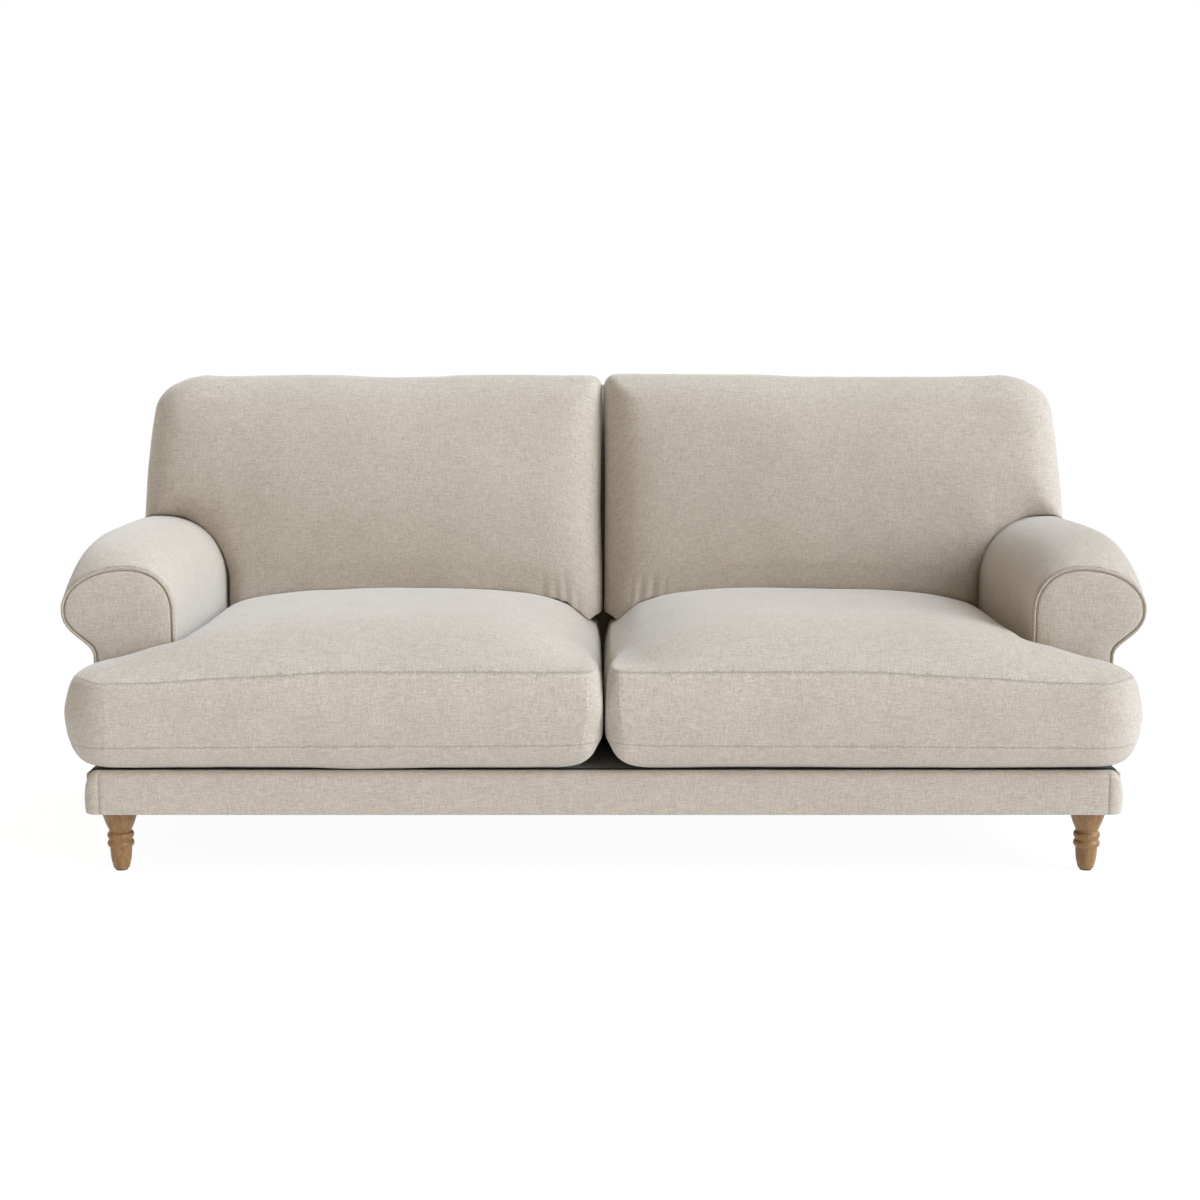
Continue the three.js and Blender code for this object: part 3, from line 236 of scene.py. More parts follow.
def set_value(piece, name, values):
    """A number at each point of the mesh, for its material to read."""
    found = piece.data.attributes.get(name) or piece.data.attributes.new(name, "FLOAT", "POINT")
    found.data.foreach_set("value", np.asarray(values, np.float32))


def tree_of(piece):
    """A search tree of a piece's faces, to cast rays at."""
    mesh = piece.data
    return BVHTree.FromPolygons([v.co.copy() for v in mesh.vertices], [tuple(f.vertices) for f in mesh.polygons])


def plain_mesh(piece):
    """The mesh that a piece and its modifiers make."""
    graph = bpy.context.evaluated_depsgraph_get()
    seen = piece.evaluated_get(graph)
    return bpy.data.meshes.new_from_object(seen, preserve_all_data_layers=True, depsgraph=graph)


def apply_modifiers(piece):
    """Turns a piece and its modifiers into one plain mesh."""
    old, mesh = piece.data, plain_mesh(piece)
    piece.modifiers.clear()
    piece.data = mesh
    bpy.data.meshes.remove(old)


def smooth_out(piece):
    """Catmull-Clark subdivision, which rounds a coarse cage into soft upholstery."""
    finer = piece.modifiers.new("finer", "SUBSURF")
    finer.levels = finer.render_levels = 1
    finer.boundary_smooth = "PRESERVE_CORNERS"
    finer.uv_smooth = "PRESERVE_BOUNDARIES"
    apply_modifiers(piece)


def recalculate(piece):
    """Turns all faces outwards and joins points that lie on each other."""
    mesh = bmesh.new()
    mesh.from_mesh(piece.data)
    bmesh.ops.remove_doubles(mesh, verts=mesh.verts, dist=1e-6)
    bmesh.ops.recalc_face_normals(mesh, faces=mesh.faces)
    mesh.to_mesh(piece.data)
    mesh.free()
    piece.data.update()


def belongs(piece, body, nodes, slot):
    """Rides on a body and stands for its nodes, which it hides. Its slot is not used."""
    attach(piece, body)
    if nodes:
        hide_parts(*nodes)
    print(piece.name, len(piece.data.polygons), "faces")


# %% [markdown]
# ## The camera, a pale floor and soft light
# The camera stands a little over a metre high and four metres in front of the middle, and looks slightly down.
# Two soft lamps stand to the right, one low and one high, and leave the left-facing side of each arm in shade. A
# weak one lights the rear. A pale warm sky fills the rest, so a colour renders about as it is written.
# The floor and the sky are white only to the camera and in reflections. The floor still takes the shadow.

# %% Camera and lamps
scene = bpy.context.scene
scene.view_settings.view_transform = "Standard"
lens = bpy.data.cameras.new("camera")
lens.lens, lens.sensor_width = 57.43, 36.0
camera = add_object("camera", lens)
camera.location = (-0.0073, -4.078, 1.0572)
camera.rotation_euler = (math.radians(90 - 8.03), 0, 0)
scene.camera = camera

# degrees from the front towards the right, degrees above the floor, strength and colour
LAMPS = {"key_lamp": (60, 22, 2.32, (0.94, 0.963, 1)), "window_lamp": (90, 52, 2.5, (0.668, 0.808, 1)),
         "rear_lamp": (200, 14, 0.8, (1, 0.98, 0.95))}
LAMP_SPREAD = math.radians(40)
for name, (turn, height, energy, color) in LAMPS.items():
    lamp = bpy.data.lights.new(name, "SUN")
    lamp.energy, lamp.angle, lamp.color = energy, LAMP_SPREAD, color
    turn, height = math.radians(turn), math.radians(height)
    toward = (math.sin(turn) * math.cos(height), -math.cos(turn) * math.cos(height), math.sin(height))
    add_object(name, lamp).rotation_euler = Vector(toward).to_track_quat("Z", "Y").to_euler()
print("lamps:", len(LAMPS))


# %% Helpers for node trees
def node(tree, kind, inputs=None, **settings):
    """Adds a node. Each input is a number or colour, or the output that feeds it."""
    made = tree.nodes.new(kind if "Node" in kind else "ShaderNode" + kind)
    for key, value in settings.items():
        setattr(made, key, value)
    for key, value in (inputs or {}).items():
        if isinstance(value, bpy.types.NodeSocket):
            tree.links.new(value, made.inputs[key])
        else:
            made.inputs[key].default_value = value
    return made


def out(tree, kind, inputs=None, **settings):
    """Adds a node and gives its first output."""
    return node(tree, kind, inputs, **settings).outputs[0]


def maths(tree, operation, *values, clamp=False):
    return out(tree, "Math", dict(enumerate(values)), operation=operation, use_clamp=clamp)


def sums(tree):
    """Short names for the sums that a tree needs most."""
    return [partial(maths, tree, kind) for kind in ("ADD", "SUBTRACT", "MULTIPLY", "DIVIDE", "MULTIPLY_ADD")]


def object_place(tree):
    return node(tree, "TexCoord").outputs["Object"]


def empty_tree(owner):
    owner.use_nodes = True
    owner.node_tree.nodes.clear()
    return owner.node_tree


def new_group(name, kind, inputs, outputs):
    """An empty node group with named inputs and outputs, and the sockets at both of its ends."""
    tree = bpy.data.node_groups.new(name, kind)
    for label, socket_kind in outputs:
        tree.interface.new_socket(label, in_out="OUTPUT", socket_type="NodeSocket" + socket_kind)
    for label, socket_kind, value in inputs:
        socket = tree.interface.new_socket(label, in_out="INPUT", socket_type="NodeSocket" + socket_kind)
        if value is not None:
            socket.default_value = value
    return tree, node(tree, "NodeGroupInput").outputs, node(tree, "NodeGroupOutput").inputs


# %% Sky and floor
def shader_sum(tree, kind, first, second, share=None):
    """Two shaders added, or mixed by a share."""
    inputs = {0: first, 1: second} if share is None else {0: share, 1: first, 2: second}
    return out(tree, kind, inputs)


def plain_shader(tree, kind, color, **inputs):
    return out(tree, kind, {"Color": (*color, 1), **inputs})


def seen_directly(tree):
    """1 for rays of the camera, a reflection or glass, and 0 for light that falls on the sofa."""
    path = node(tree, "LightPath").outputs
    glossy = maths(tree, "MAXIMUM", path["Is Camera Ray"], path["Is Glossy Ray"])
    return maths(tree, "MAXIMUM", glossy, path["Is Transmission Ray"])


WHITE = (1, 1, 1)
world = scene.world = bpy.data.worlds.new("sky")
tree = empty_tree(world)
ambient = plain_shader(tree, "Background", (1, 0.84, 0.62), Strength=0.42)
white = plain_shader(tree, "Background", WHITE, Strength=1.0)
node(tree, "OutputWorld", {"Surface": shader_sum(tree, "MixShader", ambient, white, seen_directly(tree))})

floor_finish = bpy.data.materials.new("floor_white")
tree = empty_tree(floor_finish)
# For light that falls on the sofa, the floor also glows a little in warm white. This glow stands in for light bounced
# up off the floor, though the floor is no lamp.
lit = shader_sum(tree, "AddShader", plain_shader(tree, "BsdfDiffuse", (0.8, 0.8, 0.8)),
                 plain_shader(tree, "Emission", (1, 0.93, 0.93), Strength=0.245))
shadowed = shader_sum(tree, "AddShader", plain_shader(tree, "BsdfDiffuse", (0.13, 0.13, 0.13)),
                      plain_shader(tree, "Emission", WHITE, Strength=0.945))
clean = plain_shader(tree, "Emission", WHITE, Strength=1.0)
from_middle = node(tree, "VectorMath", {0: object_place(tree)}, operation="LENGTH").outputs["Value"]
far = out(tree, "MapRange", {"Value": from_middle, "From Min": 1.1, "From Max": 2.2})
shown = shader_sum(tree, "MixShader", shadowed, clean, far)
node(tree, "OutputMaterial", {"Surface": shader_sum(tree, "MixShader", lit, shown, seen_directly(tree))})

mesh = bpy.data.meshes.new("floor")
mesh.from_pydata([(-15, -12, 0), (15, -12, 0), (15, 15, 0), (-15, 15, 0)], [], [(0, 1, 2, 3)])
mesh.materials.append(floor_finish)
add_object("floor", mesh)
print("floor and sky are made")

# %% [markdown]
# ## The linen-look cover
# The cover is a plain weave of thick and thin yarns, so each yarn is a little lighter or darker than its
# neighbour and changes along its length. A photograph could be wrapped round the sofa, but it would stretch
# and could not be resized. The weave is computed instead from the flat place of each spot on the cloth, in
# metres. One node group does it for every piece of cloth, and each material gives it its own colours.


# %% Helpers for finishes
def blend_colors(tree, share, first, second):
    return node(tree, "Mix", {0: share, 6: first, 7: second}, data_type="RGBA").outputs[2]


def choose(tree, share, first, second):
    return out(tree, "Mix", {0: share, 2: first, 3: second}, data_type="FLOAT")


def vector(tree, x, y, z=0.0):
    return out(tree, "CombineXYZ", {0: x, 1: y, 2: z})


def speckle(tree, place, scale, detail=1.0):
    inputs = {"Vector": place, "Scale": scale, "Detail": detail}
    return node(tree, "TexNoise", inputs, noise_dimensions="3D").outputs["Fac"]


def spread(tree, value, low, high):
    """Stretches a value from low..high to 0..1."""
    return out(tree, "MapRange", {"Value": value, "From Min": low, "From Max": high})


def finish_group(name, inputs):
    """A node group for a finish, which gives a colour, a height and a roughness."""
    outputs = [("Color", "Color"), ("Height", "Float"), ("Roughness", "Float")]
    return new_group(name, "ShaderNodeTree", inputs, outputs)


def give(tree, result, *sockets):
    for socket, end in zip(sockets, result):
        tree.links.new(socket, end)
    print("node group", tree.name, "has", len(tree.nodes), "nodes")


def material(name):
    made = bpy.data.materials.new(name)
    made.use_nodes = True
    return made, made.node_tree, made.node_tree.nodes["Principled BSDF"].inputs


def grouped_material(name, group, inputs_of, strength, distance):
    """A material whose colour, gloss and relief come from a node group, which inputs_of feeds."""
    made, tree, shader = material(name)
    parts = node(tree, "Group", inputs_of(tree), node_tree=group).outputs
    raised = out(tree, "Bump", {"Height": parts["Height"], "Strength": strength, "Distance": distance})
    ends = {"Base Color": parts["Color"], "Roughness": parts["Roughness"], "Normal": raised}
    for label, socket in ends.items():
        tree.links.new(socket, shader[label])
    return made, shader


# %% Node group: plain weave
weave, given, result = finish_group("plain_weave", [
    ("Cloth Place", "Vector", None), ("Yarn Width", "Float", 0.0019),
    ("Light Yarn", "Color", (0.62, 0.56, 0.47, 1)), ("Dark Yarn", "Color", (0.33, 0.28, 0.22, 1)),
    ("Contrast", "Float", 1.0), ("Crease", "Float", 0.0)])
add, minus, times, over, times_add = sums(weave)
flat_place = given["Cloth Place"]
place = node(weave, "SeparateXYZ", {0: flat_place}).outputs
waver = times(minus(speckle(weave, flat_place, 60.0), 0.5), 1.6)
across, along = (add(over(place[k], given["Yarn Width"]), waver) for k in (0, 1))
wave_u, wave_v = (maths(weave, "SINE", times(way, math.pi)) for way in (across, along))
warp_on_top = maths(weave, "GREATER_THAN", times(wave_u, wave_v), 0.0)
round_u, round_v = (maths(weave, "POWER", maths(weave, "ABSOLUTE", wave), 0.6) for wave in (wave_u, wave_v))
warp_height, weft_height = (times(a, times_add(b, 0.4, 0.6)) for a, b in ((round_u, round_v), (round_v, round_u)))
height = choose(weave, warp_on_top, weft_height, warp_height)
warp_yarn = vector(weave, times(maths(weave, "FLOOR", across), 7.31), times(along, 0.11), 4.0)
weft_yarn = vector(weave, times(across, 0.09), times(maths(weave, "FLOOR", along), 5.73), 9.0)
warp_tone, weft_tone = (speckle(weave, yarn, 1.0, 2.0) for yarn in (warp_yarn, weft_yarn))
tone = choose(weave, warp_on_top, weft_tone, warp_tone)
for scale, detail, strength in ((330.0, 2.0, 0.55), (7.0, 3.0, 0.12)):
    tone = times_add(minus(speckle(weave, flat_place, scale, detail), 0.5), strength, tone)
tone = times_add(times(minus(tone, 0.5), 1.9), given["Contrast"], 0.5, clamp=True)
yarn = blend_colors(weave, tone, given["Dark Yarn"], given["Light Yarn"])
# Painted shade: the colour is darkened in the dips between yarns, and along seams as much as the seam input asks.
shade = times(times_add(height, 0.3, 0.76), times_add(given["Crease"], -0.26, 1.0))
shaded = out(weave, "VectorMath", {0: yarn, "Scale": shade}, operation="SCALE")
give(weave, result, shaded, times_add(tone, 0.35, height), times_add(tone, -0.1, 0.97))


# %% Cloth materials
def cloth_material(name, light, dark, yarn=0.0019, contrast=1.0, axes=None):
    """Woven cloth. It reads each spot's flat place from the piece's cloth map, or from two axes of the sofa."""

    def inputs_of(tree):
        inputs = {"Yarn Width": yarn, "Light Yarn": (*light, 1), "Dark Yarn": (*dark, 1), "Contrast": contrast}
        if axes:
            spot = node(tree, "SeparateXYZ", {0: object_place(tree)}).outputs
            return {**inputs, "Cloth Place": vector(tree, spot[axes[0]], spot[axes[1]])}
        # Painted seam shade, which each piece marks on its own points, is read here.
        painted_seam_shade = node(tree, "Attribute", attribute_name="painted_seam_shade").outputs["Fac"]
        return {**inputs, "Cloth Place": out(tree, "UVMap", uv_map="cloth"), "Crease": painted_seam_shade}

    strength, relief = (0.6, 0.3) if axes else (0.55, 0.35)
    made, shader = grouped_material(name, weave, inputs_of, strength, yarn * relief)
    if not axes:
        shader["Specular IOR Level"].default_value = 0.18
        shader["Sheen Weight"].default_value = 0.6
        shader["Sheen Roughness"].default_value = 0.45
        shader["Sheen Tint"].default_value = (1, 0.99, 0.98, 1)
    return made


# The dark lining colours serve the real black dust cover underneath, and the deck as painted shade for the gap
# between the seat cushions.
JUTE, DARK_LINING_AND_GAP_SHADE = ((0.42, 0.30, 0.17), (0.17, 0.11, 0.06)), ((0.028, 0.027, 0.026), (0.010, 0.010, 0.010))
linen = cloth_material("oatmeal_linen", (0.665, 0.61, 0.535), (0.385, 0.34, 0.285))
piping_cloth = cloth_material("linen_piping", (0.6, 0.54, 0.455), (0.31, 0.265, 0.21), yarn=0.0014)
deck_cloth_painted_shade = cloth_material("dust_cloth", *DARK_LINING_AND_GAP_SHADE, yarn=0.0012, contrast=0.7)
bottom_cloth = cloth_material("dust_cloth_flat", *DARK_LINING_AND_GAP_SHADE, yarn=0.0012, contrast=1.2, axes=(0, 1))
flat_webbing = cloth_material("jute_flat", *JUTE, yarn=0.003, contrast=1.2, axes=(0, 1))
upright_webbing = cloth_material("jute_upright", *JUTE, yarn=0.003, contrast=1.2, axes=(0, 2))
print("cloth materials:", len(bpy.data.materials) - 1)

# %% [markdown]
# ## Timber and metal
# The legs are oiled oak, turned with the grain along them. Oak shows fine dark pores as short streaks, over
# broader bands of early and late wood. The frame inside is plain beech, paler and closer grained. Both use
# one node group that stretches noise along the grain, with its own colours, band width and pore strength.

# %% Node group: straight grain
grain, given, result = finish_group("straight_grain", [
    ("Place", "Vector", None), ("Light Wood", "Color", (0.5, 0.33, 0.18, 1)),
    ("Dark Wood", "Color", (0.3, 0.18, 0.08, 1)), ("Pore Color", "Color", (0.12, 0.065, 0.03, 1)),
    ("Band Scale", "Float", 90.0), ("Pore Strength", "Float", 0.7)])
add, minus, times, over, times_add = sums(grain)
squeezed, fine = (out(grain, "VectorMath", {0: given["Place"], 1: (1, 1, drawn_out)}, operation="MULTIPLY")
                  for drawn_out in (0.06, 0.09))
noise = {"Vector": squeezed, "Scale": given["Band Scale"], "Detail": 3.0, "Distortion": 0.6}
bands = spread(grain, node(grain, "TexNoise", noise).outputs["Fac"], 0.34, 0.66)
pores = times(spread(grain, speckle(grain, fine, 900.0, 1.0), 0.62, 0.72), given["Pore Strength"])
cast = spread(grain, speckle(grain, given["Place"], 14.0, 2.0), 0.3, 0.7)
wood = blend_colors(grain, bands, given["Dark Wood"], given["Light Wood"])
wood = blend_colors(grain, times(cast, 0.25), wood, given["Light Wood"])
wood = blend_colors(grain, pores, wood, given["Pore Color"])
give(grain, result, wood, times_add(pores, -1.0, times(bands, 0.3)), times_add(pores, 0.25, 0.42))


# %% Timber, steel and nylon materials
def wood_material(name, light, dark, pore, scale, pores, axis="Z"):
    """Timber with its grain along one axis of the sofa."""
    turn = {"Z": (0, 0, 0), "X": (0, math.pi / 2, 0), "Y": (math.pi / 2, 0, 0)}[axis]
    inputs = {"Light Wood": (*light, 1), "Dark Wood": (*dark, 1), "Pore Color": (*pore, 1), "Band Scale": scale}

    def inputs_of(tree):
        place = out(tree, "Mapping", {"Vector": object_place(tree), "Rotation": turn})
        return {**inputs, "Place": place, "Pore Strength": pores}

    return grouped_material(name, grain, inputs_of, 0.35, 0.0004)[0]


def worn_material(name, color, worn, metallic, roughness, scale):
    """Plain metal or plastic whose colour and gloss change a little over the surface."""
    made, tree, shader = material(name)
    cloud = spread(tree, speckle(tree, object_place(tree), scale, 4.0), 0.35, 0.65)
    tree.links.new(blend_colors(tree, cloud, (*color, 1), (*worn, 1)), shader["Base Color"])
    tree.links.new(maths(tree, "MULTIPLY_ADD", cloud, 0.2, roughness), shader["Roughness"])
    shader["Metallic"].default_value = metallic
    return made


oak = wood_material("oiled_oak", (0.318, 0.179, 0.073), (0.208, 0.106, 0.036), (0.08, 0.04, 0.016), 110.0, 0.75)
BEECH = ((0.60, 0.43, 0.265), (0.46, 0.305, 0.17), (0.27, 0.16, 0.08), 70.0, 0.45)
beech = {axis: wood_material("beech_" + axis.lower(), *BEECH, axis=axis) for axis in "XYZ"}
zinc = worn_material("zinc_steel", (0.56, 0.58, 0.6), (0.42, 0.43, 0.44), 1.0, 0.28, 260.0)
nylon = worn_material("nylon_glide", (0.09, 0.065, 0.045), (0.14, 0.11, 0.08), 0.0, 0.45, 180.0)
print("materials:", len(bpy.data.materials))

# %% [markdown]
# ## Seat cushions
# A seat cushion is a foam and feather block in a boxed cover: a top panel, a band round the side and a bottom
# panel, sewn together along two seams. Each one is L-shaped, because its wing runs out in front of the arm.
# It could be cut from a cube with modifiers, but the cover's seams then end up in odd places. Here the
# cover is laid out as its maker would: one grid for each panel and one for the band, sharing their seams.

# %% The seat cushion's plan
SEAT_BOTTOM, SEAM_TOP, SEAM_LOW = 216.9, 396.9, 268.0
SEAT_FRONT, SEAT_INNER, SEAT_OUTER = -485.0, 16.0, 1020.0
SEAT_ARM_SIDE, SEAT_WING_REAR = 849.0, -334.0
SEAT_CORNER, SEAT_INNER_CORNER = 70.0, 24.0
CROWN = 98.0
BULGE = {"front": 20.0, "outer": 31.0, "inner": 14.5, "hidden": 0.0}
UNDERCUT = {"front": 60.0, "outer": 50.0, "inner": 120.0, "hidden": 28.0}
SHRINK = {"front": 6.0, "outer": 2.5, "inner": 0.4, "hidden": 4.8}
# height up the side from the bottom to the top seam, bulge outwards there, and drawing in underneath
SIDE_SHAPE = [(0, 0.75, 1), (0.03, 0.74, 0.64), (0.067, 0.72, 0.4), (0.13, 0.73, 0.2), (0.195, 0.75, 0.1),
              (0.283, 0.85, 0.015), (0.36, 0.93, 0), (0.5, 1, 0), (0.63, 1, 0), (0.79, 0.78, 0),
              (0.92, 0.37, 0), (1, 0, 0)]
# how much fuller the top is beside the middle of the sofa, at distances from it
FULL_X, FULL_BY = [0, 13, 28, 47, 75, 121, 190], [-14, -16, -9, 0, 7, 4, 0]


def seat_rear(z):
    return lean_y(z, -4.0)


def seat_top(x, y):
    """Height of the crowned top, and how it turns down where it is pressed against the arm."""
    share = rounding(y - SEAT_FRONT, 260, 3.6) * rounding(x - SEAT_INNER, 560, 6.5)
    share = share * rounding(SEAT_OUTER - x, 700, 3.7) * rounding(seat_rear(SEAM_TOP) - y, 320, 3)
    beside_arm = 1 - rounding(SEAT_ARM_SIDE - x, 150)
    share = share * (1 - 0.16 * beside_arm * rounding(y - SEAT_WING_REAR, 150))
    return SEAM_TOP + CROWN * share + np.interp(x, FULL_X, FULL_BY) * rounding(y + 160, 220)


def arm_corner(x, y):
    """Distance to the corner that the arm takes out of the cushion."""
    return np.hypot(np.maximum(SEAT_ARM_SIDE - x, 0), np.maximum(SEAT_WING_REAR - y, 0))


def even(length, step=12.0, near_start=0, near_end=0):
    """Even shares of a length, with close steps at an end where a seam needs them."""
    shares = np.linspace(0, 1, max(round(length / step), 1) + 1)
    extra = [near_start / length, 0.3 * near_start / length] if near_start else []
    extra += [1 - near_end / length, 1 - 0.3 * near_end / length] if near_end else []
    return np.unique(np.concatenate([shares, extra]))


ACROSS_BODY, ACROSS_WING = even(833, near_start=4, near_end=5), even(171, near_end=4)[1:]
ALONG_BODY, ALONG_WING = even(668, near_end=4)[1:], even(81, near_end=4)[1:]
ROUND_CORNER = 1 - np.cos(np.radians([0, 10.5, 20, 32, 43, 53, 63, 72, 81, 90]))


def seat_plan(inset, z):
    """The plan's grid of points, front row first. Points beyond the arm corner are left empty."""
    low, high = SEAT_INNER + inset["inner"], SEAT_OUTER - inset["outer"]
    side, wing_rear = SEAT_ARM_SIDE - inset["hidden"], SEAT_WING_REAR - inset["hidden"]
    radius, inner_radius = SEAT_CORNER - inset["outer"], SEAT_INNER_CORNER - inset["inner"]
    front, rear = SEAT_FRONT + inset["front"], seat_rear(z) - inset["hidden"]
    corner = radius * ROUND_CORNER
    wing_rows = lerp(front + radius, wing_rear, ALONG_WING)
    rows = np.concatenate([front + corner, wing_rows, lerp(wing_rear, rear, ALONG_BODY)])
    lows = low + corner_inset(rows - front, inner_radius)
    highs = high - corner_inset(rows - front, radius)
    wing = lerp(side, highs[:, None], ACROSS_WING)
    wing[len(corner) + len(ALONG_WING):] = np.nan
    x = np.hstack([lerp(lows[:, None], side, ACROSS_BODY), wing])
    return np.stack([x, np.repeat(rows[:, None], x.shape[1], 1)], -1)


def trace(*corners):
    """Grid places along straight runs from each corner of a shape to the next, and back to the first."""
    places = []
    for (j, i), (next_j, next_i) in zip(corners, corners[1:] + corners[:1]):
        steps = max(abs(next_j - j), abs(next_i - i))
        places += [(j + (next_j - j) * k // steps, i + (next_i - i) * k // steps) for k in range(steps)]
    return places


def seat_rim(plan):
    """Grid places round the edge of the plan, anticlockwise from the inner front corner."""
    last, side = plan.shape[1] - 1, len(ACROSS_BODY) - 1
    rear, step = plan.shape[0] - 1, len(ROUND_CORNER) + len(ALONG_WING) - 1
    return trace((0, 0), (0, last), (step, last), (step, side), (rear, side), (rear, 0))


def side_at(z):
    """How far the cover's band stands in from the seam line at a height, on each kind of side."""
    height, out, under = zip(*SIDE_SHAPE)
    up = (z - SEAT_BOTTOM) / (SEAM_TOP - SEAT_BOTTOM)
    bulge, drawn = np.interp(up, height, out), np.interp(up, height, under)
    return {key: drawn * UNDERCUT[key] - bulge * BULGE[key] + SHRINK[key] for key in BULGE}


print("grid of a seat cushion:", seat_plan(side_at(SEAM_TOP), SEAM_TOP).shape)

# %% Sewing the seat cushion's cover
BAND_LEVELS = [396.9, 395.7, 393, 384, 373, 361, 349, 337, 325, 313, 301, 290, 280, 272, 269.2, 268, 266.8, 264,
               256, 247, 238, 230, 223.5, 219, 216.9]
WIDEST_LEVEL = 10


def seat_cover(name, mirror):
    """The cover before it is filled, a little smaller than the finished cushion."""
    quilt = Quilt()
    levels = [side_at(z) for z in BAND_LEVELS]
    plans = [seat_plan(inset, z) for inset, z in zip(levels, BAND_LEVELS)]
    top, floor = plans[0], plans[-1]
    rim, inside = seat_rim(top), ~np.isnan(top[..., 0])
    x, y = top[..., 0], top[..., 1]
    crown = (seat_top(x, y) - SEAM_TOP) * nose(arm_corner(x + SHRINK["hidden"], y + SHRINK["hidden"]), 30)
    crown = np.where(crown > 0, np.maximum(crown - SHRINK["front"] * rounding(crown, 40), 0), 0)
    ids = np.full(inside.shape, -1)
    ids[inside] = quilt.add(np.dstack([top, SEAM_TOP + crown])[inside])
    quilt.grid(ids, top)
    rings = [np.array([plan[spot] for spot in rim]) for plan in plans]
    loops = [np.array([ids[spot] for spot in rim])]
    loops += [quilt.add(with_third(ring, z)) for ring, z in zip(rings[1:], BAND_LEVELS[1:])]
    around = running_length(np.vstack([rings[WIDEST_LEVEL], rings[WIDEST_LEVEL][:1]]))
    down = running_length(np.column_stack([[-side["front"] for side in levels], BAND_LEVELS]))
    wrapped = np.array([np.append(loop, loop[0]) for loop in loops])
    cloth = np.dstack([np.tile(around, (len(plans), 1)), np.tile(-down[:, None], (1, len(rim) + 1))])
    quilt.grid(wrapped, cloth, flip=True)
    under = np.full(inside.shape, -1)
    under[tuple(np.array(rim).T)] = loops[-1]
    middle = inside & (under < 0)
    under[middle] = quilt.add(np.dstack([floor, np.full(inside.shape, SEAT_BOTTOM)])[middle])
    quilt.grid(under, floor, flip=True)
    fixed = np.zeros(len(quilt.points))
    fixed[under[under >= 0]] = 1.0
    return quilt.object(name, mirror), [loops[0], loops[BAND_LEVELS.index(SEAM_LOW)]], fixed


# %% [markdown]
# ### Filling a cover
# Blender's cloth solver blows each cover up from inside, with the seams held, because their several layers of
# cloth hardly stretch. Taken whole, its result bunches beside the seams, so only a share of it is mixed with an
# even swelling. Nothing may move out further than a limit, so the cushion stays clear of its neighbours.

# %% Filling a cover by cloth pressure
SIM_SHARE, EVEN_SHARE, MOST_SIDEWAYS = 0.35, 0.62, 0.002
STUFFING = {"quality": 5, "mass": 0.25, "air_damping": 4, "tension_stiffness": 25, "compression_stiffness": 25,
            "shear_stiffness": 8, "bending_stiffness": 0.4, "use_pressure": True, "uniform_pressure_force": 4.0,
            "shrink_min": -0.004, "vertex_group_mass": "held", "pin_stiffness": 2}


def neighbour_mean(piece):
    """A function that gives each point the mean of its neighbours' values."""
    first, second = read(piece.data.edges, "vertices", 2, np.int32).T
    size = len(piece.data.vertices)
    number = np.bincount(np.concatenate([first, second]), minlength=size)

    def mean(values):
        return (np.bincount(first, values[second], size) + np.bincount(second, values[first], size)) / number

    return mean


def run_cloth(cover, held, frames=20):
    """How far the cloth solver moves each point of a cover."""
    start = points_of(cover)
    pins = cover.vertex_groups.new(name="held")
    for index in np.flatnonzero(held > 0):
        pins.add([int(index)], float(held[index]), "REPLACE")
    cloth = cover.modifiers.new("filling", "CLOTH")
    for key, value in STUFFING.items():
        setattr(cloth.settings, key, value)
    cloth.settings.effector_weights.gravity = 0
    cloth.collision_settings.use_self_collision = False
    for step in range(1, frames + 1):
        scene.frame_set(step)
    apply_modifiers(cover)
    scene.frame_set(1)
    cover.vertex_groups.clear()
    return points_of(cover) - start


def fill(cover, held, outward, inward=0.006):
    """Swells a cover. held is 0 where the cloth is free and 1 where it can't move."""
    start, away = points_of(cover), normals_of(cover)
    along, sideways = outward * EVEN_SHARE * (1 - held), 0
    moved = run_cloth(cover, held)
    swelled = (moved * away).sum(1)
    sideways = moved - away * swelled[:, None]
    drift = np.linalg.norm(sideways, axis=1, keepdims=True)
    sideways *= np.minimum(1, MOST_SIDEWAYS / np.maximum(drift, 1e-9))
    swelled, mean = np.clip(swelled, -inward, outward), neighbour_mean(cover)
    for _ in range(24):
        swelled = lerp(swelled, mean(swelled), 0.7)
    along = lerp(along, np.clip(swelled, -inward, outward), SIM_SHARE)
    set_points(cover, start + away * along[:, None] + sideways)
    print(cover.name, "swelled by", np.round(np.percentile(along, [5, 50, 95]) * 1000, 1), "mm")


# %% Finishing a filled cover
def from_loops(piece, loops):
    """How far each point of a piece lies from the nearest of some closed loops of its points, in millimetres."""
    places = points_of(piece) / MM
    nearest = np.full(len(places), 1e9)
    for loop in loops:
        line = places[np.append(loop, loop[0])]
        for first in range(0, len(places), 4000):
            part = slice(first, first + 4000)
            nearest[part] = np.minimum(nearest[part], to_line(places[part], line)[0])
    return nearest


def round_over(cover, seams, reach, passes, fixed):
    """Softens the bend of a cover at its seams: each point near one moves to the middle of its neighbours."""
    share = fade(from_loops(cover, seams), reach)[:, None] ** 0.5 * (1 - fixed)[:, None] * 0.6
    places, mean = points_of(cover), neighbour_mean(cover)
    for _ in range(passes):
        places += (np.column_stack([mean(column) for column in places.T]) - places) * share
    set_points(cover, places)


def round_seams(cover, seams, fixed):
    """The top seam bends over softly, the lower one less, and the inner front corner most."""
    x, y, z = (points_of(cover) / MM).T
    x = np.abs(x)
    lower_inner = (1 - rounding(x - 30, 90)) * (1 - rounding(z - 262, 40))
    round_over(cover, seams[:1], 62.0, 9, fixed)
    round_over(cover, seams[1:], 42.0, 5, np.maximum(fixed, lower_inner))
    corner = (1 - rounding(x - 12, 60)) * (1 - rounding(y - SEAT_FRONT - 8, 60)) * (z > 330)
    round_over(cover, seams, 55.0, 9, np.maximum(fixed, 1 - corner))


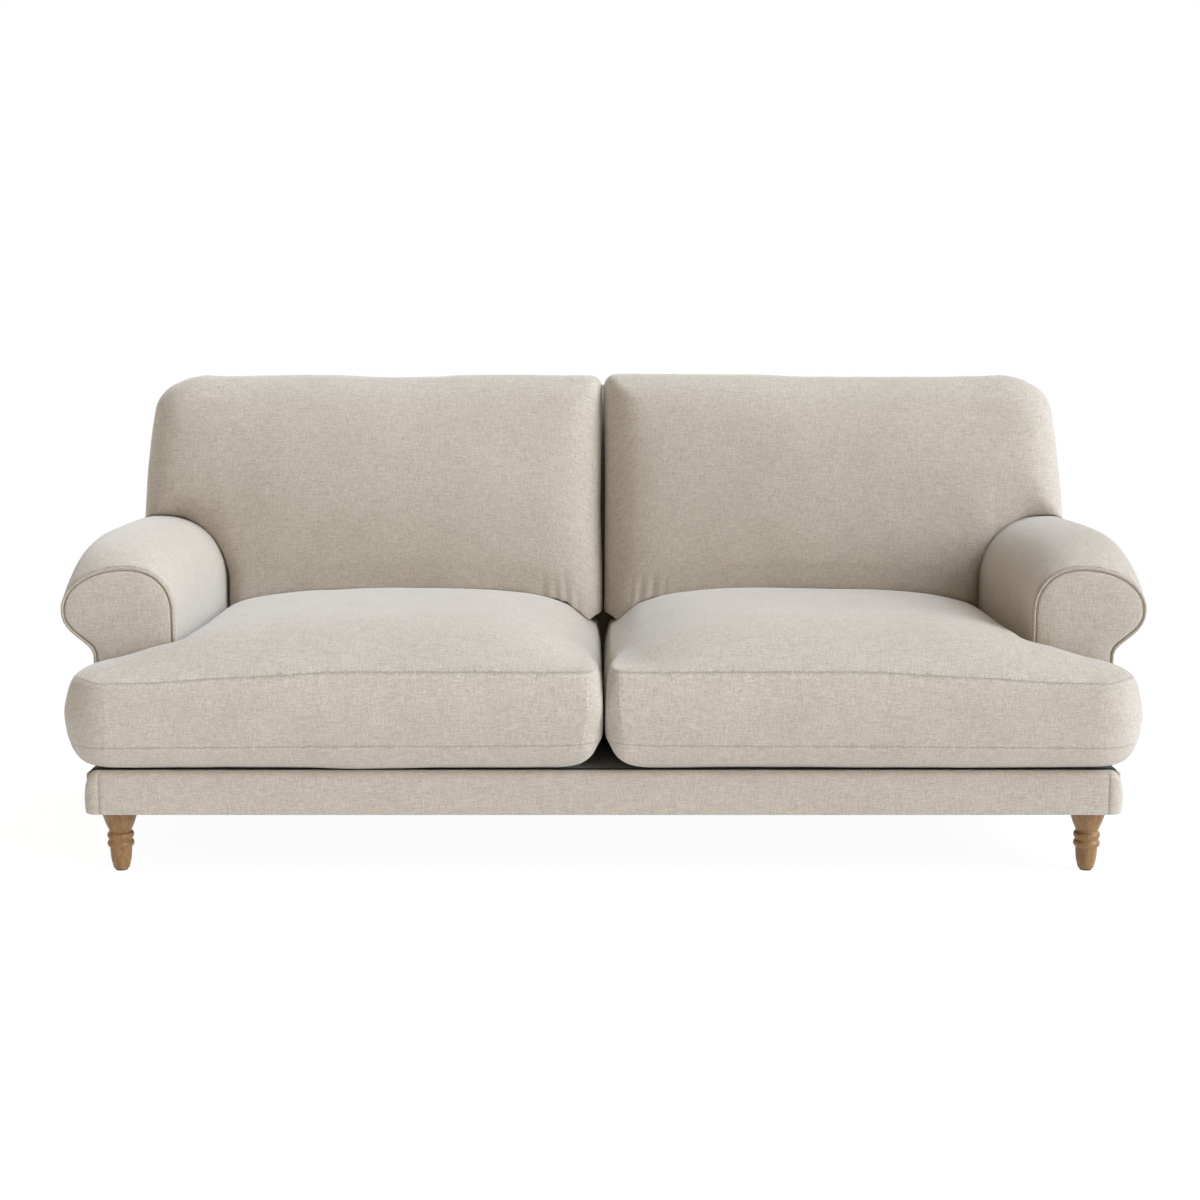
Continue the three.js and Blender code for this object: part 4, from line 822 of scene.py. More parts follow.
def finish_cushion(cover, seams, seed, fixed, hollows=2.4, hidden=0.0, folds=()):
    """Adds the soft hollows of real filling, draws the seams in with their puckers, and smooths the cover."""
    places, away = points_of(cover) / MM, normals_of(cover)
    gap = from_loops(cover, seams)
    drawn_in = fade(gap, 3.4) * (1 - hidden) + fade(gap, 12.0) * 0.3
    beside = fade(gap, 55.0)
    waves = ripple(places, 210, seed + 3) * hollows + ripple(places, 85, seed + 5) * 0.8
    puckers = ripple(places * [1, 1, 0.35], 30, seed + 8) * beside * (1 - np.minimum(drawn_in, 1))
    depth = (waves * (1 - beside) + (puckers - drawn_in) * 0.45) * (1 - fixed)
    x, _, z = places.T
    for middle, foot, width, rise, bite in folds:
        line = middle + (z - foot) * 0.12 * np.sign(middle)
        fold = np.exp(-(((x - line) / width) ** 2) - np.maximum(z - foot, 0) / rise)
        depth -= bite * fold * (away[:, 1] < -0.3)
    set_points(cover, (places + away * depth[:, None]) * MM)
    # Painted shade: the points on a seam are marked, so the cloth is drawn darker there.
    set_value(cover, "painted_seam_shade", (from_loops(cover, seams) < 1.15) * (1 - hidden))
    smooth_out(cover)
    cover.data.materials.append(linen)


# %% Making both seat cushions
# x of places along each seam, and how far the seam rises there
BOWS = (([12, 28, 70, 130, 520, 660, 760, 850, 1051], [19, 17, 9.5, 8.5, 8.5, 0, -4, -10, -11], -0.55),
        ([12, 40, 100, 600, 1051], [8, 6, 3, 1, -3], 0.2))


def bow_seams(cover, seams):
    """The front seams aren't level: they rise to the middle of the sofa and sink at the wing, over the same form."""
    for loop, (across, rises, slope) in zip(seams, BOWS):
        places, away = points_of(cover) / MM, normals_of(cover)
        near = fade(from_loops(cover, [loop]), 48.0)
        rise = np.interp(np.abs(places[:, 0]), across, rises) * near**2 * (3 - 2 * near)
        rise *= np.clip((-240 - places[:, 1]) / 90, 0, 1)
        level = away[:, :2] / np.maximum(np.linalg.norm(away[:, :2], axis=1, keepdims=True), 0.3)
        places[:, 2] += rise
        places[:, :2] += level * (rise * slope)[:, None]
        set_points(cover, places * MM)


def meet_in_middle(cover):
    """In front, the cushions meet right up to their top seam, which is moved out to the middle of the sofa."""
    places = points_of(cover) / MM
    x = np.abs(places[:, 0])
    new_x = np.interp(x, [0, 1.5, 18, 75, 2000], [0, 1.5, 2.8, 75, 2000])
    share = rounding(-330 - places[:, 1], 90) * rounding(places[:, 2] - 296, 60)
    places[:, 0] = np.sign(places[:, 0]) * lerp(x, new_x, share)
    set_points(cover, places * MM)


def seat_cushion(side, mirror, seed):
    cover, seams, fixed = seat_cover("cushion_seat_" + side, mirror)
    bow_seams(cover, seams)
    meet_in_middle(cover)
    start = points_of(cover) / MM
    held = np.where(fixed > 0, 1, (from_loops(cover, seams) < 3.0) * 0.55)
    shake = ripple(start, 45, seed)[:, None] * normals_of(cover) * 0.5 * (held < 1)[:, None]
    set_points(cover, (start + shake) * MM)
    x, y, z = np.abs(start[:, 0]), start[:, 1], start[:, 2]
    pressed = np.maximum(1 - rounding(arm_corner(x, y), 60), rounding(y - 150, 40))
    fill(cover, held, np.where(x < 22, 0.001, 0.009 - 0.0045 * pressed))
    plump = 12 * np.exp(-(((x - 1018) / 42) ** 2) - ((z - 404) / 30) ** 2) * (y < -300)
    set_points(cover, points_of(cover) + normals_of(cover) * plump[:, None] * MM)
    in_gap = (1 - rounding(x - 12, 24)) * np.clip((y + 474) / 22, 0, 1)
    round_seams(cover, seams, fixed)
    finish_cushion(cover, seams, seed, fixed, hidden=in_gap)
    belongs(cover, "seat_cushion_" + side, ["seat_cushion_" + side], "oatmeal_linen")
    return cover


seat_cushions = {side: seat_cushion(side, side == "left", seed) for side, seed in (("left", 1), ("right", 2))}

# %% [markdown]
# ## The outline of an arm
# The arm is needed before the back cushions, because their wings lie on it. Its outline starts at the inner
# foot, runs up and over the roll, and comes back under it to the neck. Right behind the piped front panel
# the padding swells out, and then it keeps its full size to the rear.

# %% The arm's outline
ARM_HEIGHT, SWELL_LENGTH, ARM_FALL = 594.0, 80.0, 20.0
SHOULDER_Z, CREST_X = ARM_HEIGHT - 95, ARM_INNER + 160
ROLL_STEPS = 24


def arm_outline(swell, fall, inset=0.0):
    """Points in X and Z from the inner foot round the roll to the neck."""
    inner, outer = ARM_INNER + inset, HALF_WIDTH - inset
    crest = ARM_INNER + 98 + 62 * swell
    top = ARM_HEIGHT + 60 * swell - ARM_FALL * fall - inset
    widest = ARM_HEIGHT - 87 + 32 * swell
    inner_power, outer_power = 2 / 2.3, 2 / lerp(2, 2.72, swell)
    turn = np.linspace(0, math.pi / 2, ROLL_STEPS + 1)
    cos, sin = np.maximum(np.cos(turn), 0), np.sin(turn)
    rise = np.column_stack([crest - (crest - inner) * cos**inner_power, lerp(SHOULDER_Z, top, sin**inner_power)])
    over = np.column_stack([lerp(crest, outer, sin**outer_power), lerp(widest, top, cos**outer_power)])
    neck = np.array([ARM_OUTER - inset, NECK_HEIGHT + inset])
    drop = widest - neck[1]
    a, b = np.array([outer, widest]), np.array([outer, widest - drop * 0.55])
    c, t = np.array([neck[0], neck[1] + drop * 0.35]), np.linspace(0, 1, ROLL_STEPS // 2 + 1)[1:, None]
    under = a * (1 - t) ** 3 + 3 * b * t * (1 - t) ** 2 + 3 * c * t**2 * (1 - t) + neck * t**3
    return np.vstack([rise, over[1:], under])


def arm_fall(y):
    """Share of the arm's length, over which its roll falls towards the rear."""
    return (y - ARM_BODY_FRONT) / (lean_y(600, PANEL_FACE) - ARM_BODY_FRONT)


def with_feet(line, height):
    """The outline with straight ends down to a height."""
    return np.vstack([[[line[0, 0], height]], line, [[line[-1, 0], height]]])


roll = arm_outline(1, 0)
roll_rise, roll_over = roll[: ROLL_STEPS + 1], roll[ROLL_STEPS : 2 * ROLL_STEPS + 1]
print("roll from", roll.min(0).round(), "to", roll.max(0).round())

# %% [markdown]
# ## Back cushions
# A back cushion is a feather-filled bag with a rounded edge. Its lower edge lies on the seat cushion and its
# wing on the arm, and both press it out of shape. It is laid out flat as two equal panels, then given its
# thickness by the distance from the edge, and set leaning. Where it would sink into the seat or the roll it
# is pushed out again smoothly, as stuffing is. Cloth pressure fills it, as with the seat cushions.

# %% The back cushion's flat panel
HALF_THICK, BAG_SHRINK, NOSE_REACH = 82.5, 6.0, 80.0
CUSHION_TOP, CUSHION_SIDE, SIDE_TAPER = 737.0, 1052.0, 41.0
CUSHION_INNER, TOP_CORNER, INNER_CORNER = 1.5, 104.0, 26.0
SINK, ARM_SINK = 48.0, 30.0
FOOT_S, WING_S, WING_X = 172.0, 271.0, ARM_INNER + 28.0
MIDDLE_Y = -4.0 - HALF_THICK
NOSE_STEPS = NOSE_REACH * (1 - np.cos(np.radians([0, 14, 26, 37, 48, 59, 70, 80, 90])))


def nosed(length, start=True, step=12.0):
    """Shares of a length whose steps are close together at the rounded ends."""
    first, last = NOSE_STEPS if start else np.array([0.0]), length - NOSE_STEPS[::-1]
    middle = np.linspace(first[-1], last[0], max(round((last[0] - first[-1]) / step), 1) + 1)[1:-1]
    return np.concatenate([first, middle, last]) / length


def wing_edge(x):
    """Height of the wing's flat edge over the arm: it starts well inside the roll, which presses it up."""
    top = np.interp(x, low_roll[:, 0], low_roll[:, 1])
    inner = SHOULDER_Z + (x - WING_X) * 1.15
    return np.minimum(np.maximum(top - ARM_SINK, SHOULDER_Z), np.maximum(inner, SHOULDER_Z))


low_roll = arm_outline(1, 0.8)[: 2 * ROLL_STEPS + 1]
ACROSS_BACK = nosed(WING_X - CUSHION_INNER)
halfway = (ACROSS_BACK[1:] + ACROSS_BACK[:-1]) / 2
ACROSS_BACK = np.sort(np.append(ACROSS_BACK, halfway[np.abs(halfway - 0.115) < 0.085]))
ACROSS_OVER_ARM = nosed(CUSHION_SIDE - WING_X, start=False)[1:]
FOOT_UP = np.array([0, 2.4, 8.1, 16, 26.5, 38.8, 47.5, 51, 57, 68, 83, 99]) / 99
WING_UP = nosed(CUSHION_TOP - WING_S)[1:]


def back_panel():
    """Places of the panel's grid in X and up the slope, with the corner over the arm's side left empty."""
    up = np.concatenate([lerp(FOOT_S, WING_S, FOOT_UP), lerp(WING_S, CUSHION_TOP, WING_UP)])
    climb = np.clip((up - WING_S) / (CUSHION_TOP - WING_S), 0, 1)
    from_top, from_foot = CUSHION_TOP - up, up - FOOT_S
    lows = CUSHION_INNER + corner_inset(from_foot, INNER_CORNER) + corner_inset(from_top, INNER_CORNER)
    highs = CUSHION_SIDE - SIDE_TAPER * climb**2 - corner_inset(from_top, TOP_CORNER)
    x = np.hstack([lerp(lows[:, None], WING_X, ACROSS_BACK), lerp(WING_X, highs[:, None], ACROSS_OVER_ARM)])
    body = len(ACROSS_BACK)
    edge_s = (wing_edge(x) - BACK_FLOOR + MIDDLE_Y * SIN) / COS
    share = np.concatenate([np.zeros(len(FOOT_UP)), WING_UP])
    s = np.repeat(up[:, None], x.shape[1], 1)
    s[:, body:] = lerp(edge_s[:, body:], CUSHION_TOP, share[:, None])
    panel = np.stack([x, s], -1)
    panel[: len(FOOT_UP) - 1, body:] = np.nan
    return panel


def panel_rim(panel):
    """Grid places round the panel's edge, from the inner foot along the edges that are pressed."""
    last, side = panel.shape[1] - 1, len(ACROSS_BACK) - 1
    top, step = panel.shape[0] - 1, len(FOOT_UP) - 1
    return trace((0, 0), (0, side), (step, side), (step, last), (top, last), (top, 0))


# %% Setting the back cushion against the seat and the arm
SEAT_GAP, CORNER_FOOT = 1.2, 419.0
rise_angles = np.arctan2(roll_rise[:, 1] - SHOULDER_Z, CREST_X - roll_rise[:, 0])
rise_reach = np.hypot(roll_rise[:, 1] - SHOULDER_Z, CREST_X - roll_rise[:, 0])


def settle(points):
    """Pushes points out of the seat cushion and the arm's roll, with a small gap."""
    points = points.copy()
    x, y, z = points.T
    off_arm = rounding(SEAT_ARM_SIDE + 6 - x, 30)
    floor = lerp(300, seat_top(np.minimum(x, SEAT_ARM_SIDE), np.minimum(y, seat_rear(SEAM_TOP))), off_arm)
    floor = np.maximum(floor, np.interp(x, [0, 24, 70], [CORNER_FOOT, CORNER_FOOT - 3, 360])) + SEAT_GAP
    points[:, 2] = floor + stay_above(z - floor, 2.0)
    z = points[:, 2] + ARM_FALL * arm_fall(y)
    way = np.column_stack([np.minimum(x - CREST_X, 0), np.maximum(z - SHOULDER_Z, 0)])
    far = np.maximum(np.linalg.norm(way, axis=1), 1e-6)
    way = np.where(far[:, None] > 1e-3, way / far[:, None], [0.0, 1.0])
    clear = far - np.interp(np.arctan2(way[:, 1], -way[:, 0]), rise_angles, rise_reach)
    clear = np.where(x > CREST_X, z - np.interp(x, roll_over[:, 0], roll_over[:, 1]), clear)
    push = SEAT_GAP + stay_above(clear - SEAT_GAP, 5.0) - clear
    points[:, [0, 2]] += way * push[:, None]
    return points


def back_cover(name, mirror):
    quilt = Quilt()
    panel = back_panel()
    inside, rim = ~np.isnan(panel[..., 0]), panel_rim(panel)
    edge = np.array([panel[spot] for spot in rim])
    flat = panel[inside]
    x, up = flat.T
    pressed = panel.shape[1] + len(FOOT_UP) - 1
    from_pressed = to_line(flat, edge[:pressed])[0]
    from_free = to_line(flat, np.vstack([edge[pressed - 1 :], edge[:1]]))[0]
    near_arm = 1 - rounding(WING_X - x, 130, 2)
    from_edge = np.minimum(from_free, from_pressed * NOSE_REACH / lerp(42, 104, near_arm))
    thick = (HALF_THICK - BAG_SHRINK) * nose(from_edge, NOSE_REACH)
    width = np.clip((x - CUSHION_INNER) / (CUSHION_SIDE - CUSHION_INNER), 0, 1)
    climb = np.clip((up - 165) / (CUSHION_TOP - 165), 0, 1)
    crown = 44 * np.sin(width * math.pi) ** 0.7 * np.sin(climb * math.pi) * rounding(from_edge, 140)
    top, on_arm, over_arm = CUSHION_TOP - BAG_SHRINK * 0.7, wing_edge(x), 1 - rounding(WING_X - x, 90, 2)
    edge_flat = lerp(FOOT_S, (on_arm - BACK_FLOOR + MIDDLE_Y * SIN) / COS, over_arm)
    share = (CUSHION_TOP - up) / (CUSHION_TOP - edge_flat)
    spots, ids = np.argwhere(inside), np.full(inside.shape, -1)
    for layer in (-1, 1):
        y = MIDDLE_Y + layer * thick - (crown if layer < 0 else 0)
        foot_y = np.minimum(BACK_FACE + y * COS + FOOT_S * SIN, 341)
        on_seat = seat_top(np.minimum(x, 840), foot_y) - SINK
        edge_now = (lerp(on_seat, on_arm, over_arm) - BACK_FLOOR + y * SIN) / COS
        points = settle(lean_out(x, y, lerp(top, edge_now, share)))
        new = np.flatnonzero((from_edge >= 1e-3) | (layer < 0))
        ids[tuple(spots[new].T)] = quilt.add(points[new])
        quilt.grid(ids, panel + [1500 + 1500 * layer, 0], flip=layer > 0)
    return quilt.object(name, mirror), ids[tuple(np.array(rim).T)]


# %% Pressing the cushions together
def press_together(cover, under, gap=0.8, dent=6.0):
    """Lets the lower side of a back cushion sink a little into the seat cushion, so that both give way."""
    tree, places, seat = tree_of(under), points_of(cover), points_of(under)
    inside = (places[:, 2] < 0.53) & (np.abs(places[:, 0]) < 0.846)
    heights = np.full(len(places), np.nan)
    for index in np.flatnonzero(inside):
        hit = tree.ray_cast((*places[index, :2], 0.7), (0, 0, -1))[0]
        heights[index] = hit.z if hit is not None else np.nan
    clear = (places[:, 2] - heights) / MM - gap
    touching = inside & (clear < 3.0)
    middles = np.arange(4, 846, 10.0)
    x, y = np.abs(places[:, 0]) / MM, places[:, 1] / MM
    line = [y[touching & (np.abs(x - middle) < 9)].min(initial=400) for middle in middles]
    line = np.convolve(np.pad(line, 2, "edge"), np.ones(5) / 5, "valid")

    def sunk(points):
        behind = points[:, 1] / MM - np.interp(np.abs(points[:, 0]) / MM, middles, line)
        share = np.clip((behind + 13) / 26, 0, 1)
        return dent * MM * share * share * (3 - 2 * share) * (np.abs(points[:, 0]) < 0.85)

    seat[:, 2] -= sunk(seat) * ((seat[:, 2] > 0.33) & (normals_of(under)[:, 2] > 0.1))
    set_points(under, seat)
    pressed = np.where(inside & ~np.isnan(clear), clear, 1e3)
    close = stay_above(pressed - 9 * np.exp(-np.maximum(pressed, 0) / 12), 1.0) + gap
    share = fade(np.maximum(clear, 0), 60)
    places[:, 2] = np.where(pressed < 60, heights + close * MM - sunk(places) * share, places[:, 2])
    set_points(cover, places)


# %% Making both back cushions
# x of each fold at the seat, height of its foot, half width, how fast it fades upwards, and its depth, in mm
FOLDS = {
    "left": [(-62, 476, 6, 13, 3.4), (-85, 484, 7, 16, 4.0), (-108, 486, 6, 13, 3.2), (-135, 488, 7, 12, 2.2)],
    "right": [(84, 482, 7, 17, 4.6), (113, 486, 7, 15, 4.0), (62, 474, 6, 13, 2.8), (139, 488, 6, 12, 2.4)],
}


def back_cushion(side, mirror, seed):
    cover, rim = back_cover("cushion_back_" + side, mirror)
    places, away = points_of(cover) / MM, normals_of(cover)
    held = np.zeros(len(places))
    held[rim] = 0.35
    set_points(cover, (places + ripple(places, 45, seed)[:, None] * away * 0.5) * MM)
    resting = (away[:, 2] < -0.35) | (away[:, 1] > 0.8)
    room = np.where(resting, 0.001, 0.009)
    room = np.where(np.abs(places[:, 0]) < 14, 0.003, room)
    fill(cover, held, np.where(places[:, 2] > 930, 0.0045, room))
    finish_cushion(cover, [], seed, np.where(resting, 0.8, 0.0), hollows=4.0, folds=FOLDS[side])
    press_together(cover, seat_cushions[side])
    belongs(cover, "back_cushion_" + side, ["back_cushion_" + side], "oatmeal_linen")
    return cover


back_cushions = {side: back_cushion(side, side == "left", seed) for side, seed in (("left", 11), ("right", 12))}

# %% [markdown]
# ## Arms
# The roll of an arm is stuffing under a cover that is pulled tight from the front panel to the back. A lofted
# skin follows this well: one ring of the outline after another, close together at the front, where the cover
# swells out from behind the piping. Small gathers run back from the piping, as the cover is eased round it.

# %% Padded arms
OUTSIDE_THICK = 10.0
OUTSIDE_INNER = ARM_OUTER - OUTSIDE_THICK - CLEAR


def arm_ring(swell, fall):
    """The whole outline of the padded body, with room for the outside panel under the roll."""
    curve = arm_outline(swell, fall)
    foot, top = np.array([[ARM_INNER, DECK_BOTTOM]]), np.array([[OUTSIDE_INNER, NECK_HEIGHT - CLEAR]])
    inner = lerp(foot, curve[:1], np.linspace(0, 1, 26)[:-1, None])
    outer = lerp(top, np.array([[OUTSIDE_INNER, DECK_BOTTOM]]), np.linspace(0, 1, 18)[:, None])
    return np.vstack([inner, even_steps(curve, 56), outer])


def arm_padding(side, mirror, seed):
    quilt = Quilt()
    run = lean_y(500, PANEL_FACE) - ARM_BODY_FRONT
    rings = []
    for depth in [0, 2, 5, 9, 14, 20, 28, 38, 50, *np.linspace(63, run, 58)]:
        outline = arm_ring(1 - math.exp(-depth / SWELL_LENGTH), depth / run)
        y = lerp(ARM_BODY_FRONT, lean_y(outline[:, 1], PANEL_FACE) - CLEAR, depth / run)
        rings.append(np.column_stack([outline[:, 0], y, outline[:, 1]]))
    rings = np.array(rings)
    around = np.array([running_length(ring) for ring in rings])
    ids = quilt.add(rings)
    cloth = np.dstack([around, np.broadcast_to(rings[:, 40:41, 1], around.shape)])
    quilt.grid(ids, cloth)
    quilt.grid(ids[:, [0, -1]], cloth[:, [0, -1]], flip=True)
    quilt.face(ids[0], rings[0][:, [0, 2]], flip=True)
    quilt.face(ids[-1], rings[-1][:, [0, 2]])
    arm = quilt.object("padding_arm_" + side, mirror)
    recalculate(arm)
    places, away = points_of(arm) / MM, normals_of(arm)
    x, y, z = places.T
    depth = y - ARM_BODY_FRONT
    free = rounding(depth - 3, 14) * rounding(lean_y(z, PANEL_FACE) - y - 4, 40) * rounding(z - NECK_HEIGHT + 60, 60)
    around_roll = np.degrees(np.arctan2(z - 500, np.abs(x) - 960)) * 1.6
    gathers = ripple(np.column_stack([around_roll, depth * 0.12, y * 0]), 14, seed) * 2.4
    gathered = np.exp(-np.maximum(depth, 0) / 34)
    waves = ripple(places * [1, 0.6, 1], 170, seed + 2) * 2.2 + ripple(places, 70, seed + 4) * 0.6
    set_points(arm, (places + away * (lerp(waves, gathers, gathered) * free)[:, None]) * MM)
    # Painted shade: the cover is drawn darker just behind the piping, where it tucks in.
    set_value(arm, "painted_seam_shade", np.clip(1 - depth / 7, 0, 1) * 0.7)
    smooth_out(arm)
    arm.data.materials.append(linen)
    belongs(arm, "sofa_frame", ["arm_padding_" + side], "oatmeal_linen")


for side, mirror, seed in SIDES:
    arm_padding(side, mirror, seed)

# %% [markdown]
# ## Upholstered panels
# The front panel of each arm, the outside panels and the linings are boards with wadding and cloth over them.
# One function makes them all from an outline: the front is filled with an even net of triangles, which turns
# down at the edge and rises a little towards the middle.

# %% A padded panel of any outline
def inset_line(outline, distance):
    """A closed outline drawn in by a distance. The outline runs anticlockwise."""
    first, second = outline - np.roll(outline, 1, 0), np.roll(outline, -1, 0) - outline
    first /= np.maximum(np.linalg.norm(first, axis=1, keepdims=True), 1e-9)
    second /= np.maximum(np.linalg.norm(second, axis=1, keepdims=True), 1e-9)
    inward = np.column_stack([-(first + second)[:, 1], (first + second)[:, 0]])
    length = np.linalg.norm(inward, axis=1, keepdims=True)
    return outline + inward / np.maximum(length, 1e-9) * distance / np.clip(length / 2, 0.5, 1)


def close_up(outline, step):
    """A closed outline with points no further apart than step."""
    points = []
    for a, b in zip(outline, np.roll(outline, -1, 0)):
        pieces = max(math.ceil(np.linalg.norm(b - a) / step), 1)
        points.extend(lerp(a, b, k / pieces) for k in range(pieces))
    return np.array(points)


def net_inside(line, step):
    """An even net of triangles inside a closed line: its points, the line's own first, and its faces."""
    low, high = line.min(0), line.max(0)
    rows = [(u, v) for k, v in enumerate(np.arange(low[1] + step / 2, high[1], step * 0.87))
            for u in np.arange(low[0] + step / 3 + step / 2 * (k % 2), high[0], step)]
    rows = np.array(rows).reshape(-1, 2)
    if len(rows):
        gap, apart, run = to_line(rows, np.vstack([line, line[:1]]))
        rows = rows[(np.cross(run, apart) > 0) & (gap > step * 0.55)]
    edges = [(k, (k + 1) % len(line)) for k in range(len(line))]
    found = geometry.delaunay_2d_cdt([Vector(p) for p in [*line, *rows]], edges, [], 1, 1e-4)
    return np.array([tuple(p) for p in found[0]]), found[2]


def panel(name, outline, thickness, place, nodes, edge=4.0, puff=2.0, step=16.0, mirror=False, seed=0, waves=0.5,
          finish=linen, slot="oatmeal_linen"):
    """A padded panel. place turns (across, up, out) of the panel into points of the sofa."""
    outline = close_up(np.array(outline, float), step)
    insets = [0.0, edge * 0.13, edge * 0.5, edge]
    lines = [outline] + [inset_line(outline, distance) for distance in insets[1:]]
    flat, faces = net_inside(lines[-1], step)
    quilt = Quilt()
    rings = [quilt.add(place(with_third(line, thickness - edge * (1 - nose(np.float64(distance), edge)))))
             for line, distance in zip(lines[:-1], insets)]
    gap = to_line(flat, np.vstack([lines[-1], lines[-1][:1]]))[0]
    unevenness = ripple(with_third(flat), 90, seed) * waves * rounding(gap, 30)
    ids = quilt.add(place(np.column_stack([flat, thickness + puff * rounding(gap, 45) + unevenness])))
    for face in faces:
        quilt.face(ids[list(face)], flat[list(face)])
    back = quilt.add(place(with_third(outline)))
    around = running_length(np.vstack([outline, outline[:1]]))
    rings = np.array([back, *rings, ids[: len(outline)]])
    ups = [-thickness, 0, edge * 0.4, edge * 0.9, edge * 1.4]
    cloth = np.array([[(along, up) for along in around] for up in ups])
    quilt.grid(np.hstack([rings, rings[:, :1]]), cloth)
    quilt.face(back, outline, flip=True)
    made = quilt.object(name, mirror)
    recalculate(made)
    set_value(made, "painted_seam_shade", np.zeros(len(made.data.vertices)))
    made.data.materials.append(finish)
    belongs(made, "sofa_frame", nodes, slot)


def facing_place(points):
    return np.column_stack([points[:, 0], ARM_FRONT + 8 - points[:, 2], points[:, 1]])


def side_place(x):
    """Panels that face outwards at the right-hand side, drawn in Y and Z."""
    return lambda points: np.column_stack([x + points[:, 2], points[:, 0], points[:, 1]])


# %% Front and outside panels of the arms
facing_line = with_feet(arm_outline(0, 0, 6.8), DECK_BOTTOM)[::-1]
neck = NECK_HEIGHT - CLEAR
rear_low, rear_high = lean_y(DECK_BOTTOM, PANEL_FACE) - CLEAR, lean_y(NECK_HEIGHT, PANEL_FACE) - CLEAR
outside_line = [[ARM_BODY_FRONT, DECK_BOTTOM], [rear_low, DECK_BOTTOM], [rear_high, neck], [ARM_BODY_FRONT, neck]]
for side, mirror, seed in SIDES:
    both = {"mirror": mirror, "seed": seed}
    panel("facing_arm_" + side, facing_line, 8, facing_place, ["arm_facing_" + side], edge=6, puff=3.5, step=11,
          waves=0.8, **both)
    panel("outside_arm_" + side, outside_line, 8.5, side_place(ARM_OUTER - OUTSIDE_THICK),
          ["arm_outside_panel_" + side], puff=1.5, step=24, **both)

# %% [markdown]
# ### Piping and zips
# Piping is a cord sewn into a folded strip of the cover. It follows the edge of the front panel, so it is a
# curve with a round profile. Geometry Nodes sweep it: the radius and the number of sides are inputs. A second
# tree sets small bars along a curve, for the teeth of the zips and the staples of the dust cover.

# %% Node trees for what follows a curve
def curve_tree(name, inputs):
    inputs = [("Geometry", "Geometry", None), *inputs, ("Finish", "Material", None)]
    return new_group(name, "GeometryNodeTree", inputs, [("Geometry", "Geometry")])


def give_solid(tree, given, result, made):
    """Turns what a tree made into plain geometry with its finish."""
    solid = out(tree, "GeometryNodeRealizeInstances", {0: made})
    finished = out(tree, "GeometryNodeSetMaterial", {"Geometry": solid, "Material": given["Finish"]})
    tree.links.new(finished, result["Geometry"])
    return tree


def swept_tree(name, inputs, profile, profile_inputs, upright=False):
    """Draws a profile along a curve and keeps the length along it and round it for the cloth map."""
    tree, given, result = curve_tree(name, inputs)
    length = node(tree, "GeometryNodeSplineParameter").outputs["Length"]
    curve = given["Geometry"]
    if upright:
        curve = out(tree, "GeometryNodeSetCurveNormal", {0: curve}, mode="Z_UP")
    drawn = out(tree, profile, {end: given[label] for end, label in profile_inputs.items()})
    lines = [out(tree, "GeometryNodeStoreNamedAttribute", {"Geometry": line, "Name": label, "Value": length},
                 data_type="FLOAT", domain="POINT") for line, label in ((curve, "along"), (drawn, "round"))]
    inputs = {"Curve": lines[0], "Profile Curve": lines[1], "Fill Caps": True}
    return give_solid(tree, given, result, out(tree, "GeometryNodeCurveToMesh", inputs))


def row_tree(name):
    """Sets small bars one after another along a curve, each turned along it."""
    tree, given, result = curve_tree(name, [("Spacing", "Float", 0.003), ("Size", "Vector", None)])
    inputs = {"Curve": given["Geometry"], "Length": given["Spacing"]}
    even_line = out(tree, "GeometryNodeResampleCurve", inputs, mode="LENGTH")
    bar = node(tree, "GeometryNodeMeshCube", {"Size": given["Size"]}).outputs["Mesh"]
    along = out(tree, "GeometryNodeInputTangent")
    turn = out(tree, "FunctionNodeAlignRotationToVector", {"Vector": along}, axis="X")
    inputs = {"Points": even_line, "Instance": bar, "Rotation": turn}
    return give_solid(tree, given, result, out(tree, "GeometryNodeInstanceOnPoints", inputs))


piping_tree = swept_tree("piping", [("Radius", "Float", 0.003), ("Sides", "Int", 10)],
                         "GeometryNodeCurvePrimitiveCircle", {"Resolution": "Sides", "Radius": "Radius"})
tape_tree = swept_tree("tape", [("Width", "Float", 0.026), ("Thickness", "Float", 0.001)],
                       "GeometryNodeCurvePrimitiveQuadrilateral", {"Width": "Thickness", "Height": "Width"},
                       upright=True)
bar_tree = row_tree("row_of_bars")


def grow(tree, points, name, **inputs):
    """Runs a node tree on a line of points in millimetres and returns the plain mesh that it makes."""
    curve = bpy.data.curves.new(name, "CURVE")
    curve.dimensions = "3D"
    spline = curve.splines.new("POLY")
    spline.points.add(len(points) - 1)
    spline.points.foreach_set("co", with_third(points * MM, 1.0).ravel())
    source = add_object(name + "_line", curve)
    made = source.modifiers.new("tree", "NODES")
    made.node_group = tree
    sockets = {item.name: item.identifier for item in tree.interface.items_tree if item.in_out == "INPUT"}
    for label, value in inputs.items():
        made[sockets[label]] = value
    mesh = plain_mesh(source)
    bpy.data.objects.remove(source)
    bpy.data.curves.remove(curve)
    if "along" in mesh.attributes:
        found = (mesh.attributes[key].data for key in ("along", "round"))
        flat = np.column_stack([read(values, "value", 1, np.float32) for values in found])
        corners = read(mesh.loops, "vertex_index", 1, np.int32)[:, 0]
        mesh.uv_layers.new(name="cloth").uv.foreach_set("vector", flat[corners].ravel())
    return add_object(name, mesh)


print("trees:", piping_tree.name, tape_tree.name, bar_tree.name)

